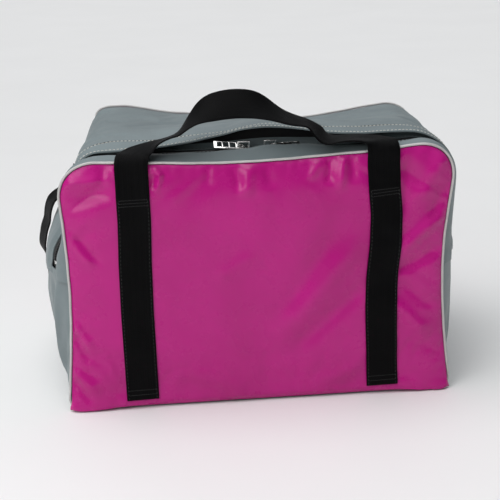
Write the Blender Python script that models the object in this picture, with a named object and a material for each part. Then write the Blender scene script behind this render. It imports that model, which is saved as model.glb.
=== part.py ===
"""Skate bag: a boxy zip-top bag of glossy tarpaulin with webbing handles.

Run with: blender --background --python part.py
Metres, +Z up, +X along the bag's width, +Y to its back. The origin is the
centre of the flat underside, which lies at z = 0.
"""

import math

import bmesh
import bpy
from mathutils import Vector

# Driving dimensions: the bag's seam-to-seam box, its webbing and its sheet.
WIDTH = 0.460
DEPTH = 0.300
HEIGHT = 0.300
TOP_RADIUS = 0.045
BOTTOM_RADIUS = 0.018
SHEET = 0.0015
WEBBING_WIDTH = 0.038
WEBBING_THICKNESS = 0.0024
GAP = 0.0003

HALF_WIDTH = WIDTH / 2
HALF_DEPTH = DEPTH / 2
PIPING_RADIUS = 0.002
SEAM_INSET = PIPING_RADIUS + GAP
SEAM_Y = HALF_DEPTH - SEAM_INSET
BOTTOM_ROLL = 0.006
ROLL_REACH = 0.016
SIDE_SEAM_Z = 0.165
PANEL_CROWN = 0.006
END_BULGE = 0.018
LID_BULGE = 0.004

# The zip lies just under the top, and its two halves part at ZIP_Y.
ZIP_Y = -0.110
FRONT_STRIP_EDGE_Y = -0.1195
LID_EDGE_Y = -0.1010
ZIP_EDGE_DROP = 0.0012
TAPE_WIDTH = 0.0130
TAPE_THICKNESS = 0.0008
TAPE_TOP = -ZIP_EDGE_DROP - SHEET - GAP
TEETH_INNER = 0.0008
TEETH_OUTER = 0.0028
TEETH_TOP = -0.0018
TEETH_HEIGHT = 0.0028
ZIP_END_Z = SIDE_SEAM_Z + 0.010

LEFT_SLIDER_X = -0.013
RIGHT_SLIDER_X = 0.018
SLIDER_LENGTH = 0.017
SLIDER_WIDTH = 0.012
PLATE = 0.0016
PULL_LENGTH = 0.035

# The storm flap is sewn to the lid's front edge and reaches over the zip. The
# lid's edge stands high over the sliders and comes down towards the corners.
FLAP_ROOT_Y = -0.0855
FLAP_EDGE_Y = -0.112
FLAP_OPEN_EDGE_Y = -0.104
FLAP_THICKNESS = 0.0016
FLAP_HALF_LENGTH = 0.100
FLAP_LIFT = 0.0010
FLAP_END_Z = 0.240
HIGH_RISE = 0.0095
SLIDER_RISE = 0.0060
SLIDER_REACH_X = 0.138
LID_RISE_DEPTH = 0.110

# Webbing: sewn down below STITCH_Z, free above it.
LEFT_STRAP_X = -0.145
RIGHT_STRAP_X = 0.144
STRAP_FOOT_Z = 0.012
STITCH_Z = 0.2600
STITCH_GAP = 0.0018

MATERIALS = {
    "pink_tarpaulin": ((0.51, 0.026, 0.205), 0.28, 0.0),
    "grey_tarpaulin": ((0.20, 0.25, 0.26), 0.35, 0.0),
    "black_webbing": ((0.012, 0.012, 0.013), 0.75, 0.0),
    "white_piping": ((0.80, 0.80, 0.80), 0.45, 0.0),
    "black_zip_tape": ((0.010, 0.010, 0.011), 0.85, 0.0),
    "black_zip_teeth": ((0.015, 0.015, 0.016), 0.45, 0.0),
    "chrome": ((0.75, 0.75, 0.77), 0.15, 1.0),
    "stiffener": ((0.03, 0.03, 0.03), 0.60, 0.0),
    "binding": ((0.015, 0.015, 0.016), 0.80, 0.0),
}


def smooth(value):
    """0 below 0, 1 above 1, and a smooth ramp between."""
    t = min(max(value, 0.0), 1.0)
    return t * t * (3 - 2 * t)


# ---------------------------------------------------------------- the outline
# A station is (x, z, normal x, normal z) on the bag's front outline.


def run(x0, z0, x1, z1, steps):
    """Stations along a straight side, without its last point."""
    along = Vector((x1 - x0, z1 - z0)).normalized()
    points = ((x0 + (x1 - x0) * i / steps, z0 + (z1 - z0) * i / steps) for i in range(steps))
    return [(x, z, -along.y, along.x) for x, z in points]


def arc(cx, cz, radius, start, end, steps):
    """Stations round a corner, angles in degrees from +X, with its last point."""
    angles = (math.radians(start + (end - start) * i / steps) for i in range(steps + 1))
    return [(cx + radius * math.cos(a), cz + radius * math.sin(a), math.cos(a), math.sin(a)) for a in angles]


def top_section(low_z, side_steps=4, corner_steps=6, top_steps=14):
    """Up the left end, over the top and down the right end, to low_z."""
    x, z = HALF_WIDTH - TOP_RADIUS, HEIGHT - TOP_RADIUS
    left = run(-HALF_WIDTH, low_z, -HALF_WIDTH, z, side_steps)
    left += arc(-x, z, TOP_RADIUS, 180, 90, corner_steps)
    top = run(-x, HEIGHT, x, HEIGHT, top_steps)[1:]
    right = [(-px, pz, -nx, nz) for px, pz, nx, nz in reversed(left)]
    return left + top + right


def end_section(side, low_z, high_z, steps=7):
    """Up one end, side is -1 for the left and 1 for the right."""
    stations = run(-HALF_WIDTH, low_z, -HALF_WIDTH, high_z, steps) + [(-HALF_WIDTH, high_z, -1.0, 0.0)]
    if side < 0:
        return stations
    return [(-x, z, -nx, nz) for x, z, nx, nz in reversed(stations)]


def bottom_section(corner_steps=4, steps=8):
    """Down round the right bottom corner, along the bottom and up the left one."""
    x = HALF_WIDTH - BOTTOM_RADIUS
    right = arc(x, BOTTOM_RADIUS, BOTTOM_RADIUS, 0, -90, corner_steps)
    flat = run(x, 0.0, -x, 0.0, steps)[1:]
    return right + flat + [(-px, pz, -nx, nz) for px, pz, nx, nz in reversed(right)]


def whole_outline():
    """All stations, once round."""
    sides = end_section(-1, BOTTOM_RADIUS, SIDE_SEAM_Z, 4)
    right_side = end_section(1, BOTTOM_RADIUS, SIDE_SEAM_Z, 4)
    return sides[1:-1] + top_section(SIDE_SEAM_Z, 2) + right_side[1:-1] + bottom_section()


def end_bulge(y, z, nx):
    """How far a full bag pushes its ends out."""
    up = math.sin(math.pi * min(max((z - BOTTOM_RADIUS) / (HEIGHT - BOTTOM_RADIUS), 0.0), 1.0))
    return END_BULGE * nx * nx * up * (1 - abs(y / SEAM_Y) ** 3)


def bottom_roll(y, nz):
    """How far the bottom edge is rolled up where it meets a seam."""
    edge = smooth(1 - (SEAM_Y - abs(y)) / ROLL_REACH)
    return BOTTOM_ROLL * max(0.0, -nz) * edge


def end_face_x(y, z):
    """The left end's outer face."""
    rise = max(0.0, z - (HEIGHT - TOP_RADIUS))
    arc_x = HALF_WIDTH - TOP_RADIUS + math.sqrt(TOP_RADIUS**2 - rise**2)
    return -arc_x - end_bulge(y, z, math.sqrt(1 - (rise / TOP_RADIUS) ** 2))


def lid_rise(x, nx):
    """How high the lid's front edge stands over the outline."""
    if nx != 0:
        return 0.0
    high = HIGH_RISE * smooth((SLIDER_REACH_X - abs(x)) / (SLIDER_REACH_X - FLAP_HALF_LENGTH))
    corner_x = HALF_WIDTH - TOP_RADIUS
    return high + SLIDER_RISE * smooth((corner_x - abs(x)) / (corner_x - SLIDER_REACH_X))


def crown(x, z):
    """How far a big panel swells out of its seam plane."""
    across = 1 - (x / HALF_WIDTH) ** 2
    up = 1 - (2 * z / HEIGHT - 1) ** 2
    return PANEL_CROWN * max(0.0, across) * max(0.0, up)


def across_panel(x, z, side):
    """The direction across webbing that lies flat on a big panel."""
    step = 0.001
    slope = (crown(x + step, z) - crown(x - step, z)) / (2 * step)
    return (1.0, side * slope, 0.0)


# ---------------------------------------------------------------- mesh making


def material(name):
    """The named Principled material, made once."""
    if name in bpy.data.materials:
        return bpy.data.materials[name]
    colour, roughness, metallic = MATERIALS[name]
    made = bpy.data.materials.new(name)
    made.use_nodes = True
    shader = made.node_tree.nodes["Principled BSDF"]
    shader.inputs["Base Color"].default_value = (*colour, 1.0)
    shader.inputs["Roughness"].default_value = roughness
    shader.inputs["Metallic"].default_value = metallic
    return made


def add(name, vertices, faces, material_name, parent=None):
    """A closed solid from its points and faces, with its faces turned outwards."""
    mesh = bpy.data.meshes.new(name)
    mesh.from_pydata([tuple(v) for v in vertices], [], faces)
    shell = bmesh.new()
    shell.from_mesh(mesh)
    bmesh.ops.recalc_face_normals(shell, faces=shell.faces)
    shell.to_mesh(mesh)
    shell.free()
    mesh.materials.append(material(material_name))
    mesh.shade_smooth()
    mesh.set_sharp_from_angle(angle=math.radians(40))
    made = bpy.data.objects.new(name, mesh)
    bpy.context.scene.collection.objects.link(made)
    if parent is not None:
        for vertex in mesh.vertices:
            vertex.co -= parent.location
        made.parent = parent
    return made


def pivot(name, location):
    """An empty on a joint's axis, which its moving pieces hang from."""
    made = bpy.data.objects.new(name, None)
    made.location = location
    made.empty_display_size = 0.02
    bpy.context.scene.collection.objects.link(made)
    return made


def ladder(rings, closed_rings, capped):
    """Faces between rings of equal length. Rings join in a loop unless capped."""
    count, size = len(rings), len(rings[0])
    faces = []
    for r in range(count - 1 if capped else count):
        for i in range(size if closed_rings else size - 1):
            j = (i + 1) % size
            after = (r + 1) % count
            faces.append((r * size + i, r * size + j, after * size + j, after * size + i))
    if capped:
        faces.append(tuple(range(size)))
        faces.append(tuple((count - 1) * size + i for i in reversed(range(size))))
    return faces


def sheet(name, stations, profile, thickness, material_name, parent=None):
    """A sheet along stations. profile(station) gives (y, offset) points across it."""
    rings = []
    for x, z, nx, nz in stations:
        outer = [(x + nx * off, y, z + nz * off) for y, off in profile((x, z, nx, nz))]
        inner = [(px - nx * thickness, y, pz - nz * thickness) for px, y, pz in outer]
        rings.append(outer + inner[::-1])
    size = len(rings[0])
    half = size // 2
    faces = ladder(rings, closed_rings=True, capped=True)[:-2]
    for start in (0, (len(rings) - 1) * size):
        for i in range(half - 1):
            faces.append((start + i, start + i + 1, start + size - 2 - i, start + size - 1 - i))
    return add(name, [p for ring in rings for p in ring], faces, material_name, parent)


def gusset_profile(points):
    """A profile that follows the end bulge and the bottom roll."""

    def at(station):
        _, z, nx, nz = station
        return [(y, off + end_bulge(y, z, nx) - bottom_roll(y, nz)) for y, off in points]

    return at


def ribbon(name, stations, material_name, parent=None):
    """Flat webbing through stations of (centre, width direction)."""
    centres = [Vector(c) for c, _ in stations]
    rings = []
    for i, (_, across) in enumerate(stations):
        along = (centres[min(i + 1, len(centres) - 1)] - centres[max(i - 1, 0)]).normalized()
        width = Vector(across)
        width = (width - along * width.dot(along)).normalized() * WEBBING_WIDTH / 2
        face = along.cross(width).normalized() * WEBBING_THICKNESS / 2
        c = centres[i]
        rings.append([c - width - face, c + width - face, c + width + face, c - width + face])
    faces = ladder(rings, closed_rings=True, capped=True)
    return add(name, [p for ring in rings for p in ring], faces, material_name, parent)


def blocks(name, xs, ys, zs, filled, material_name, parent=None):
    """One solid of grid cells. filled(x, y, z) tests a cell's middle."""

    def solid(i, j, k):
        if not (0 <= i < len(xs) - 1 and 0 <= j < len(ys) - 1 and 0 <= k < len(zs) - 1):
            return False
        return filled((xs[i] + xs[i + 1]) / 2, (ys[j] + ys[j + 1]) / 2, (zs[k] + zs[k + 1]) / 2)

    shell = bmesh.new()
    corners = {}

    def corner(i, j, k):
        if (i, j, k) not in corners:
            corners[i, j, k] = shell.verts.new((xs[i], ys[j], zs[k]))
        return corners[i, j, k]

    squares = {
        (1, 0, 0): ((1, 0, 0), (1, 1, 0), (1, 1, 1), (1, 0, 1)),
        (-1, 0, 0): ((0, 0, 0), (0, 0, 1), (0, 1, 1), (0, 1, 0)),
        (0, 1, 0): ((0, 1, 0), (0, 1, 1), (1, 1, 1), (1, 1, 0)),
        (0, -1, 0): ((0, 0, 0), (1, 0, 0), (1, 0, 1), (0, 0, 1)),
        (0, 0, 1): ((0, 0, 1), (1, 0, 1), (1, 1, 1), (0, 1, 1)),
        (0, 0, -1): ((0, 0, 0), (0, 1, 0), (1, 1, 0), (1, 0, 0)),
    }
    for i in range(len(xs) - 1):
        for j in range(len(ys) - 1):
            for k in range(len(zs) - 1):
                if not solid(i, j, k):
                    continue
                for (di, dj, dk), square in squares.items():
                    if not solid(i + di, j + dj, k + dk):
                        shell.faces.new([corner(i + a, j + b, k + c) for a, b, c in square])
    shell.verts.index_update()
    vertices = [tuple(v.co) for v in shell.verts]
    faces = [tuple(v.index for v in f.verts) for f in shell.faces]
    shell.free()
    return add(name, vertices, faces, material_name, parent)


# ---------------------------------------------------------------- the pieces


def big_panel(name, side, material_name):
    """The front (side -1) or back (side 1) panel, inside its piping."""
    centre_z = HEIGHT / 2
    inset = []
    for x, z, nx, nz in whole_outline():
        shrink = SEAM_INSET + BOTTOM_ROLL * max(0.0, -nz)
        inset.append((x - nx * shrink, z - nz * shrink))
    scales = (1.0, 0.95, 0.88, 0.78, 0.65, 0.45, 0.22)
    vertices = []
    for face_side in (1, -1):
        for scale in scales:
            for x, z in inset:
                px, pz = x * scale, centre_z + (z - centre_z) * scale
                vertices.append((px, side * (HALF_DEPTH + crown(px, pz) + face_side * SHEET / 2), pz))
        vertices.append((0.0, side * (HALF_DEPTH + PANEL_CROWN + face_side * SHEET / 2), centre_z))
    size, layer = len(inset), len(inset) * len(scales) + 1
    faces = []
    for base in (0, layer):
        for r in range(len(scales) - 1):
            for i in range(size):
                j = (i + 1) % size
                faces.append((base + r * size + i, base + r * size + j, base + (r + 1) * size + j,
                              base + (r + 1) * size + i))
        last = base + (len(scales) - 1) * size
        faces += [(last + i, last + (i + 1) % size, base + layer - 1) for i in range(size)]
    faces += [(i, (i + 1) % size, layer + (i + 1) % size, layer + i) for i in range(size)]
    add(name, vertices, faces, material_name)


def piping(name, side):
    """The round cord sewn into a big panel's seam."""
    rings = []
    for x, z, nx, nz in whole_outline():
        roll = BOTTOM_ROLL * max(0.0, -nz)
        cx, cz = x - nx * roll, z - nz * roll
        ring = []
        for i in range(8):
            a = 2 * math.pi * i / 8
            out = PIPING_RADIUS * math.cos(a)
            ring.append((cx + nx * out, side * HALF_DEPTH + PIPING_RADIUS * math.sin(a), cz + nz * out))
        rings.append(ring)
    faces = ladder(rings, closed_rings=True, capped=False)
    add(name, [p for ring in rings for p in ring], faces, "white_piping")


def seam_binding(name, side):
    """The tape that binds a big panel's raw edges inside the bag."""
    width, thickness = 0.008, 0.0008
    rings = []
    for x, z, nx, nz in whole_outline():
        outer = -SHEET - GAP - BOTTOM_ROLL * max(0.0, -nz)
        inner = outer - thickness
        near, far = side * (SEAM_Y + 0.0008), side * (SEAM_Y + 0.0008 - width)
        corners = ((near, outer), (far, outer), (far, inner), (near, inner))
        rings.append([(x + nx * off, y, z + nz * off) for y, off in corners])
    faces = ladder(rings, closed_rings=True, capped=False)
    add(name, [p for ring in rings for p in ring], faces, "binding")


def gusset():
    """The bottom, the two ends and the two halves of the zip top."""
    across = [-SEAM_Y, -0.140, -0.132, -0.09, -0.045, 0.0, 0.045, 0.09, 0.132, 0.140, SEAM_Y]
    plain = gusset_profile([(y, 0.0) for y in across])
    sheet("bottom_panel", bottom_section(), plain, SHEET, "grey_tarpaulin")
    low, high = BOTTOM_RADIUS + GAP, SIDE_SEAM_Z - GAP / 2
    sheet("left_side_panel", end_section(-1, low, high), plain, SHEET, "grey_tarpaulin")
    sheet("right_side_panel", end_section(1, low, high), plain, SHEET, "grey_tarpaulin")

    upper = top_section(SIDE_SEAM_Z + GAP / 2, top_steps=37)
    strip = [(-SEAM_Y, 0.0), (-0.1415, 0.0032), (-0.1345, 0.0048), (-0.1280, 0.0045), (-0.1235, 0.0015),
             (FRONT_STRIP_EDGE_Y, -ZIP_EDGE_DROP)]
    sheet("top_front_strip", upper, gusset_profile(strip), SHEET, "grey_tarpaulin")

    def lid(station):
        x, _, nx, nz = station
        rise = lid_rise(x, nx)
        dome = LID_BULGE * max(0.0, nz) * math.cos(math.pi * x / WIDTH)
        points = [(LID_EDGE_Y, -ZIP_EDGE_DROP), (-0.0985, -ZIP_EDGE_DROP), (-0.0945, rise * 0.55)]
        for y in (-0.0905, -0.0820, -0.065, -0.045, -0.020, 0.005, 0.030, 0.060, 0.090, 0.120, SEAM_Y):
            back = (y + 0.0905) / (SEAM_Y + 0.0905)
            fall = 1 - smooth((y + 0.0820) / LID_RISE_DEPTH)
            points.append((y, rise * fall + dome * math.sin(math.pi * back)))
        return gusset_profile(points)(station)

    sheet("top_rear_panel", upper, lid, SHEET, "grey_tarpaulin")


def zip_chain():
    """Tapes, teeth and end stops of the zip."""
    tape_stations = top_section(SIDE_SEAM_Z + GAP)
    teeth_stations = top_section(ZIP_END_Z)
    teeth_edge = TEETH_OUTER + GAP
    for name, side in (("front", -1), ("rear", 1)):
        edges = sorted((ZIP_Y + side * teeth_edge, ZIP_Y + side * (teeth_edge + TAPE_WIDTH)))
        tape = gusset_profile([(y, TAPE_TOP) for y in edges])
        sheet("zip_tape_" + name, tape_stations, tape, TAPE_THICKNESS, "black_zip_tape")
        edges = sorted((ZIP_Y + side * TEETH_INNER, ZIP_Y + side * TEETH_OUTER))
        teeth = gusset_profile([(y, TEETH_TOP) for y in edges])
        sheet("zip_teeth_" + name, teeth_stations, teeth, TEETH_HEIGHT, "black_zip_teeth")
    for name, side in (("left", -1), ("right", 1)):
        stop = end_section(side, ZIP_END_Z - 0.005, ZIP_END_Z - 0.001, 1)
        edges = (ZIP_Y - TEETH_OUTER, ZIP_Y + TEETH_OUTER)
        block = gusset_profile([(y, TEETH_TOP) for y in edges])
        sheet("zip_end_stop_" + name, stop, block, TEETH_HEIGHT, "chrome")


def slider(side_name, x, direction):
    """A slider on the teeth, and its pull, which lies along direction (-1 or 1) on X."""
    teeth_top = HEIGHT + TEETH_TOP
    plate_low = teeth_top + 0.0004
    plate_high = plate_low + PLATE
    base_high = teeth_top - TEETH_HEIGHT - 0.0004
    bridge_low, bridge_high = plate_high + 0.0032, plate_high + 0.0046
    half_length, half_width = SLIDER_LENGTH / 2, SLIDER_WIDTH / 2
    web, bridge_half, post_in, post_out = 0.0005, 0.0016, 0.0048, 0.0066
    pin_z = plate_high + 0.0017

    def body(px, py, pz):
        dx, dy = abs(px - x), abs(py - ZIP_Y)
        if pz > plate_high:
            if dy > bridge_half or dx > post_out:
                return False
            return pz > bridge_low or dx > post_in
        return dy < web or pz > plate_low or pz < base_high

    xs = [x + d for d in (-half_length, -post_out, -post_in, post_in, post_out, half_length)]
    ys = [ZIP_Y + d for d in (-half_width, -bridge_half, -web, web, bridge_half, half_width)]
    zs = [base_high - PLATE, base_high, plate_low, plate_high, bridge_low, bridge_high]
    carriage = pivot(side_name + "_slide_axis", (x, ZIP_Y, teeth_top))
    blocks("slider_" + side_name, xs, ys, zs, body, "chrome", carriage)

    half_pull, arm_in, arm_out, bar = 0.0045, 0.0020, 0.0034, 0.0008
    windows = ((0.0095, 0.0160), (0.0175, 0.0240), (0.0255, 0.0310))
    rail = 0.0028
    yoke = 0.0075

    def pull(px, py, pz):
        reach, dy = (px - x) * direction, abs(py - ZIP_Y)
        if reach < bar:
            return dy < arm_out
        if reach < yoke:
            return arm_in < dy < arm_out
        return not any(a < reach < b for a, b in windows) or dy > rail

    ends = (-bar, bar, yoke, *(edge for window in windows for edge in window), PULL_LENGTH)
    xs = sorted(x + direction * reach for reach in ends)
    ys = sorted(ZIP_Y + s * d for s in (-1, 1) for d in (arm_in, rail, arm_out, half_pull))
    zs = [pin_z - bar, pin_z + bar]
    hinge = pivot(side_name + "_pull_axis", (x, ZIP_Y, pin_z))
    blocks("pull_" + side_name, xs, ys, zs, pull, "chrome", hinge)


def storm_flap():
    """The flap over the zip: a moving middle, and an end sewn down at each corner."""
    x0, z0 = HALF_WIDTH - TOP_RADIUS, HEIGHT - TOP_RADIUS

    def profile(station):
        x, z, nx, _ = station
        open_part = smooth((0.085 - abs(x - 0.005)) / 0.035) if nx == 0 else 0.0
        edge_y = FLAP_EDGE_Y + (FLAP_OPEN_EDGE_Y - FLAP_EDGE_Y) * open_part
        top = lid_rise(x, nx) + FLAP_LIFT + FLAP_THICKNESS
        ys = (edge_y + (FLAP_ROOT_Y - edge_y) * i / 3 for i in range(4))
        return [(y, top + end_bulge(y, z, nx)) for y in ys]

    high = HEIGHT + lid_rise(0.0, 0) + FLAP_LIFT + FLAP_THICKNESS
    hinge = pivot("flap_axis", (0.0, FLAP_ROOT_Y, high))
    middle = run(-FLAP_HALF_LENGTH, HEIGHT, FLAP_HALF_LENGTH, HEIGHT, 20)
    middle.append((FLAP_HALF_LENGTH, HEIGHT, 0.0, 1.0))
    sheet("storm_flap", middle, profile, FLAP_THICKNESS, "grey_tarpaulin", hinge)

    left = run(-HALF_WIDTH, FLAP_END_Z, -HALF_WIDTH, z0, 1)
    left += arc(-x0, z0, TOP_RADIUS, 180, 90, 6)
    left += run(-x0, HEIGHT, -FLAP_HALF_LENGTH - GAP, HEIGHT, 9)[1:]
    left += [(-FLAP_HALF_LENGTH - GAP, HEIGHT, 0.0, 1.0)]
    sheet("flap_end_left", left, profile, FLAP_THICKNESS, "grey_tarpaulin")
    right = [(-x, z, -nx, nz) for x, z, nx, nz in reversed(left)]
    sheet("flap_end_right", right, profile, FLAP_THICKNESS, "grey_tarpaulin")


def sewn_strap(name, side, x):
    """Webbing sewn flat on a big panel, from its foot to the box stitch."""
    top = STITCH_Z - STITCH_GAP
    stations = []
    for i in range(9):
        z = STRAP_FOOT_Z + (top - STRAP_FOOT_Z) * i / 8
        y = side * (HALF_DEPTH + crown(x, z) + SHEET / 2 + GAP + WEBBING_THICKNESS / 2)
        stations.append(((x, y, z), across_panel(x, z, side)))
    ribbon(name, stations, "black_webbing")


def curve_through(points, steps):
    """A smooth line of (centre, width direction) through hand-set points."""
    found = []
    count = len(points)
    for i in range(count - 1):
        four = [points[max(i - 1, 0)], points[i], points[i + 1], points[min(i + 2, count - 1)]]
        for j in range(steps + (i == count - 2)):
            t = j / steps
            weights = (
                (-t + 2 * t**2 - t**3) / 2,
                (2 - 5 * t**2 + 3 * t**3) / 2,
                (t + 4 * t**2 - 3 * t**3) / 2,
                (-(t**2) + t**3) / 2,
            )
            both = [sum((w * Vector(p[k]) for w, p in zip(weights, four)), Vector()) for k in (0, 1)]
            found.append((both[0], both[1].normalized()))
    return found


def hinge_y(x):
    """The outer face of the sewn webbing at the stitch line."""
    return HALF_DEPTH + crown(x, STITCH_Z) + SHEET / 2 + GAP + WEBBING_THICKNESS


def front_handle():
    """The standing handle: its legs bend back over the top edge, turn in and rise to an arch."""
    face = hinge_y(LEFT_STRAP_X)
    leg_y = -face + WEBBING_THICKNESS / 2
    foot = STITCH_Z + STITCH_GAP
    left, right = LEFT_STRAP_X, RIGHT_STRAP_X
    left_lay, right_lay = (Vector(across_panel(x, STITCH_Z, -1)) for x in (left, right))
    points = [
        ((left, leg_y, foot), left_lay),
        ((left, leg_y - 0.0010, foot + 0.012), left_lay),
        ((left, leg_y - 0.0018, foot + 0.025), left_lay),
        ((left, -0.1575, 0.2990), (1, 0, 0)),
        ((left + 0.002, -0.1510, 0.3072), (1, -0.05, 0)),
        ((left + 0.008, -0.1415, 0.3097), (0.9, -0.45, 0)),
        ((left + 0.022, -0.1345, 0.3112), (0.45, -0.9, 0)),
        ((left + 0.042, -0.1330, 0.3160), (0.1, -1, -0.1)),
        ((-0.080, -0.1355, 0.3285), (0.1, -0.75, -0.6)),
        ((-0.055, -0.1375, 0.3455), (0.45, -0.2, -0.85)),
        ((-0.015, -0.1370, 0.3555), (0, 0, -1)),
        ((0.030, -0.1385, 0.3440), (-0.4, 0, -0.9)),
        ((0.062, -0.1385, 0.3280), (-0.45, -0.35, -0.8)),
        ((0.088, -0.1350, 0.3180), (-0.2, -0.85, -0.4)),
        ((right - 0.026, -0.1340, 0.3120), (-0.3, -0.95, 0)),
        ((right - 0.009, -0.1405, 0.3100), (-0.85, -0.5, 0)),
        ((right - 0.002, -0.1510, 0.3072), (-1, -0.05, 0)),
        ((right, -0.1575, 0.2990), (-1, 0, 0)),
        ((right, leg_y - 0.0018, foot + 0.025), -right_lay),
        ((right, leg_y - 0.0010, foot + 0.012), -right_lay),
        ((right, leg_y, foot), -right_lay),
    ]
    hinge = pivot("front_handle_axis", (0.0, -face, STITCH_Z))
    ribbon("front_handle", curve_through(points, 3), "black_webbing", hinge)


def back_handle():
    """The same handle hanging down behind, outside its straps."""
    face = hinge_y(LEFT_STRAP_X)
    leg_y = face + 0.0010 + WEBBING_THICKNESS / 2
    foot = STITCH_Z - STITCH_GAP
    left, right = LEFT_STRAP_X, RIGHT_STRAP_X
    left_lay, right_lay = (Vector(across_panel(x, STITCH_Z, 1)) for x in (left, right))
    points = [
        ((left, leg_y, foot), left_lay),
        ((left, leg_y + 0.004, foot - 0.022), left_lay),
        ((left + 0.002, leg_y + 0.010, foot - 0.042), (1, -0.1, 0)),
        ((left + 0.012, leg_y + 0.019, foot - 0.060), (0.7, -0.7, 0)),
        ((left + 0.032, leg_y + 0.024, foot - 0.074), (0, -1, 0.2)),
        ((left + 0.064, leg_y + 0.018, foot - 0.096), (-0.2, -0.7, 0.6)),
        ((-0.045, leg_y + 0.012, foot - 0.113), (0, -0.2, 1)),
        ((0.0, leg_y + 0.010, foot - 0.117), (0, 0, 1)),
        ((0.045, leg_y + 0.012, foot - 0.113), (0, -0.2, 1)),
        ((right - 0.064, leg_y + 0.018, foot - 0.096), (0.2, -0.7, 0.6)),
        ((right - 0.032, leg_y + 0.024, foot - 0.074), (0, -1, 0.2)),
        ((right - 0.012, leg_y + 0.019, foot - 0.060), (-0.7, -0.7, 0)),
        ((right - 0.002, leg_y + 0.010, foot - 0.042), (-1, -0.1, 0)),
        ((right, leg_y + 0.004, foot - 0.022), -right_lay),
        ((right, leg_y, foot), -right_lay),
    ]
    hinge = pivot("back_handle_axis", (0.0, face, STITCH_Z))
    ribbon("back_handle", curve_through(points, 3), "black_webbing", hinge)


def side_handle():
    """The grab handle on the left end, sewn down at both its ends."""
    top, bottom, stand_off = 0.262, 0.118, 0.0130
    sewn = 0.017
    on_panel = GAP + 0.0002 + WEBBING_THICKNESS / 2
    steps = 22
    stations = []
    for i in range(steps + 1):
        z = top + (bottom - top) * i / steps
        inside = (min(top - z, z - bottom) - sewn) / ((top - bottom) / 2 - sewn)
        x = end_face_x(0.0, z) - on_panel - stand_off * math.sin(math.pi / 2 * smooth(inside * 1.05))
        stations.append(((x, 0.0, z), (0, 1, 0)))
    ribbon("side_handle", stations, "black_webbing")


def base_board():
    """The stiffener that lies loose on the bottom inside."""
    length, width, thickness, corner = 0.404, 0.262, 0.003, 0.012
    low = SHEET + GAP
    loop = []
    for cx, cy, start in ((1, 1, 0), (-1, 1, 90), (-1, -1, 180), (1, -1, 270)):
        for i in range(5):
            a = math.radians(start + 90 * i / 4)
            x = cx * (length / 2 - corner) + corner * math.cos(a)
            loop.append((x, cy * (width / 2 - corner) + corner * math.sin(a)))
    rings = [[(x, y, z) for x, y in loop] for z in (low, low + thickness)]
    faces = ladder(rings, closed_rings=True, capped=True)
    add("base_board", [p for ring in rings for p in ring], faces, "stiffener")


def main():
    for old in list(bpy.data.objects):
        bpy.data.objects.remove(old)
    big_panel("front_panel", -1, "pink_tarpaulin")
    big_panel("back_panel", 1, "pink_tarpaulin")
    piping("front_piping", -1)
    piping("back_piping", 1)
    seam_binding("seam_binding_front", -1)
    seam_binding("seam_binding_back", 1)
    gusset()
    base_board()
    zip_chain()
    slider("left", LEFT_SLIDER_X, -1)
    slider("right", RIGHT_SLIDER_X, 1)
    storm_flap()
    for name, side in (("front", -1), ("back", 1)):
        sewn_strap(name + "_strap_left", side, LEFT_STRAP_X)
        sewn_strap(name + "_strap_right", side, RIGHT_STRAP_X)
    front_handle()
    back_handle()
    side_handle()
    bpy.context.view_layer.update()


main()
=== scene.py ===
import math

import bmesh
import bpy
import numpy as np
from mathutils import Matrix, Vector
from mathutils.bvhtree import BVHTree


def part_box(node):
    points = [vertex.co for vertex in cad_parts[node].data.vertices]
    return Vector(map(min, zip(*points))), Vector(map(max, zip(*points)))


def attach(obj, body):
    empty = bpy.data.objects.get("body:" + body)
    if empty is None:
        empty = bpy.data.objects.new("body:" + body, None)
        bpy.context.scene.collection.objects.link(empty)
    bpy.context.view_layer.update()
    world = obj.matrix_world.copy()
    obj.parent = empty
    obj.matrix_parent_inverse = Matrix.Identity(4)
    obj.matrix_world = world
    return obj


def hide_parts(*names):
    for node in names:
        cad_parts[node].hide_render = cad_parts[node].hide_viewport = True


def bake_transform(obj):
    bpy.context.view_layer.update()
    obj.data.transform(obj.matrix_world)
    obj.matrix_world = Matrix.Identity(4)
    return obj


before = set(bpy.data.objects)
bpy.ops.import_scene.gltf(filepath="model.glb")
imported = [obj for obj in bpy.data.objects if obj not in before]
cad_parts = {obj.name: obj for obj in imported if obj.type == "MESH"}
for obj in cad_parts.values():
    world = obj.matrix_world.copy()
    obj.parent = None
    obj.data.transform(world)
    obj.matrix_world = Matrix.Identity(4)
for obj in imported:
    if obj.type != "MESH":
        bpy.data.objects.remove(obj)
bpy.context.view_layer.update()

# ---------------------------------------------------------------- sizes
# The seam outline, from the piping that runs round it.
PIPE_LOW, PIPE_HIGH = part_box("front_piping")
PIPE_R = (PIPE_HIGH.y - PIPE_LOW.y) / 2
HALF_D = -(PIPE_HIGH.y + PIPE_LOW.y) / 2
HALF_W = PIPE_HIGH.x - PIPE_R
HEIGHT = PIPE_HIGH.z - PIPE_R
SEAM_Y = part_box("bottom_panel")[1].y
SIDE_SEAM_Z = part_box("left_side_panel")[1].z
TEETH_FRONT, TEETH_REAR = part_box("zip_teeth_front"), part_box("zip_teeth_rear")
ZIP_Y = (TEETH_FRONT[0].y + TEETH_REAR[1].y) / 2
TEETH_TOP = TEETH_FRONT[1].z
FLAP_LOW, FLAP_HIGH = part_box("storm_flap")
HINGE_Y, HINGE_Z = FLAP_HIGH.y, FLAP_HIGH.z
STRAP_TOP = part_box("front_strap_left")[1].z
HANDLE_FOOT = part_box("front_handle")[0].z
STITCH_Z = (STRAP_TOP + HANDLE_FOOT) / 2
STRAP_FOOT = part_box("front_strap_left")[0].z
LEFT_X = sum(c.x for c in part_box("front_strap_left")) / 2
RIGHT_X = sum(c.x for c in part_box("front_strap_right")) / 2

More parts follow.
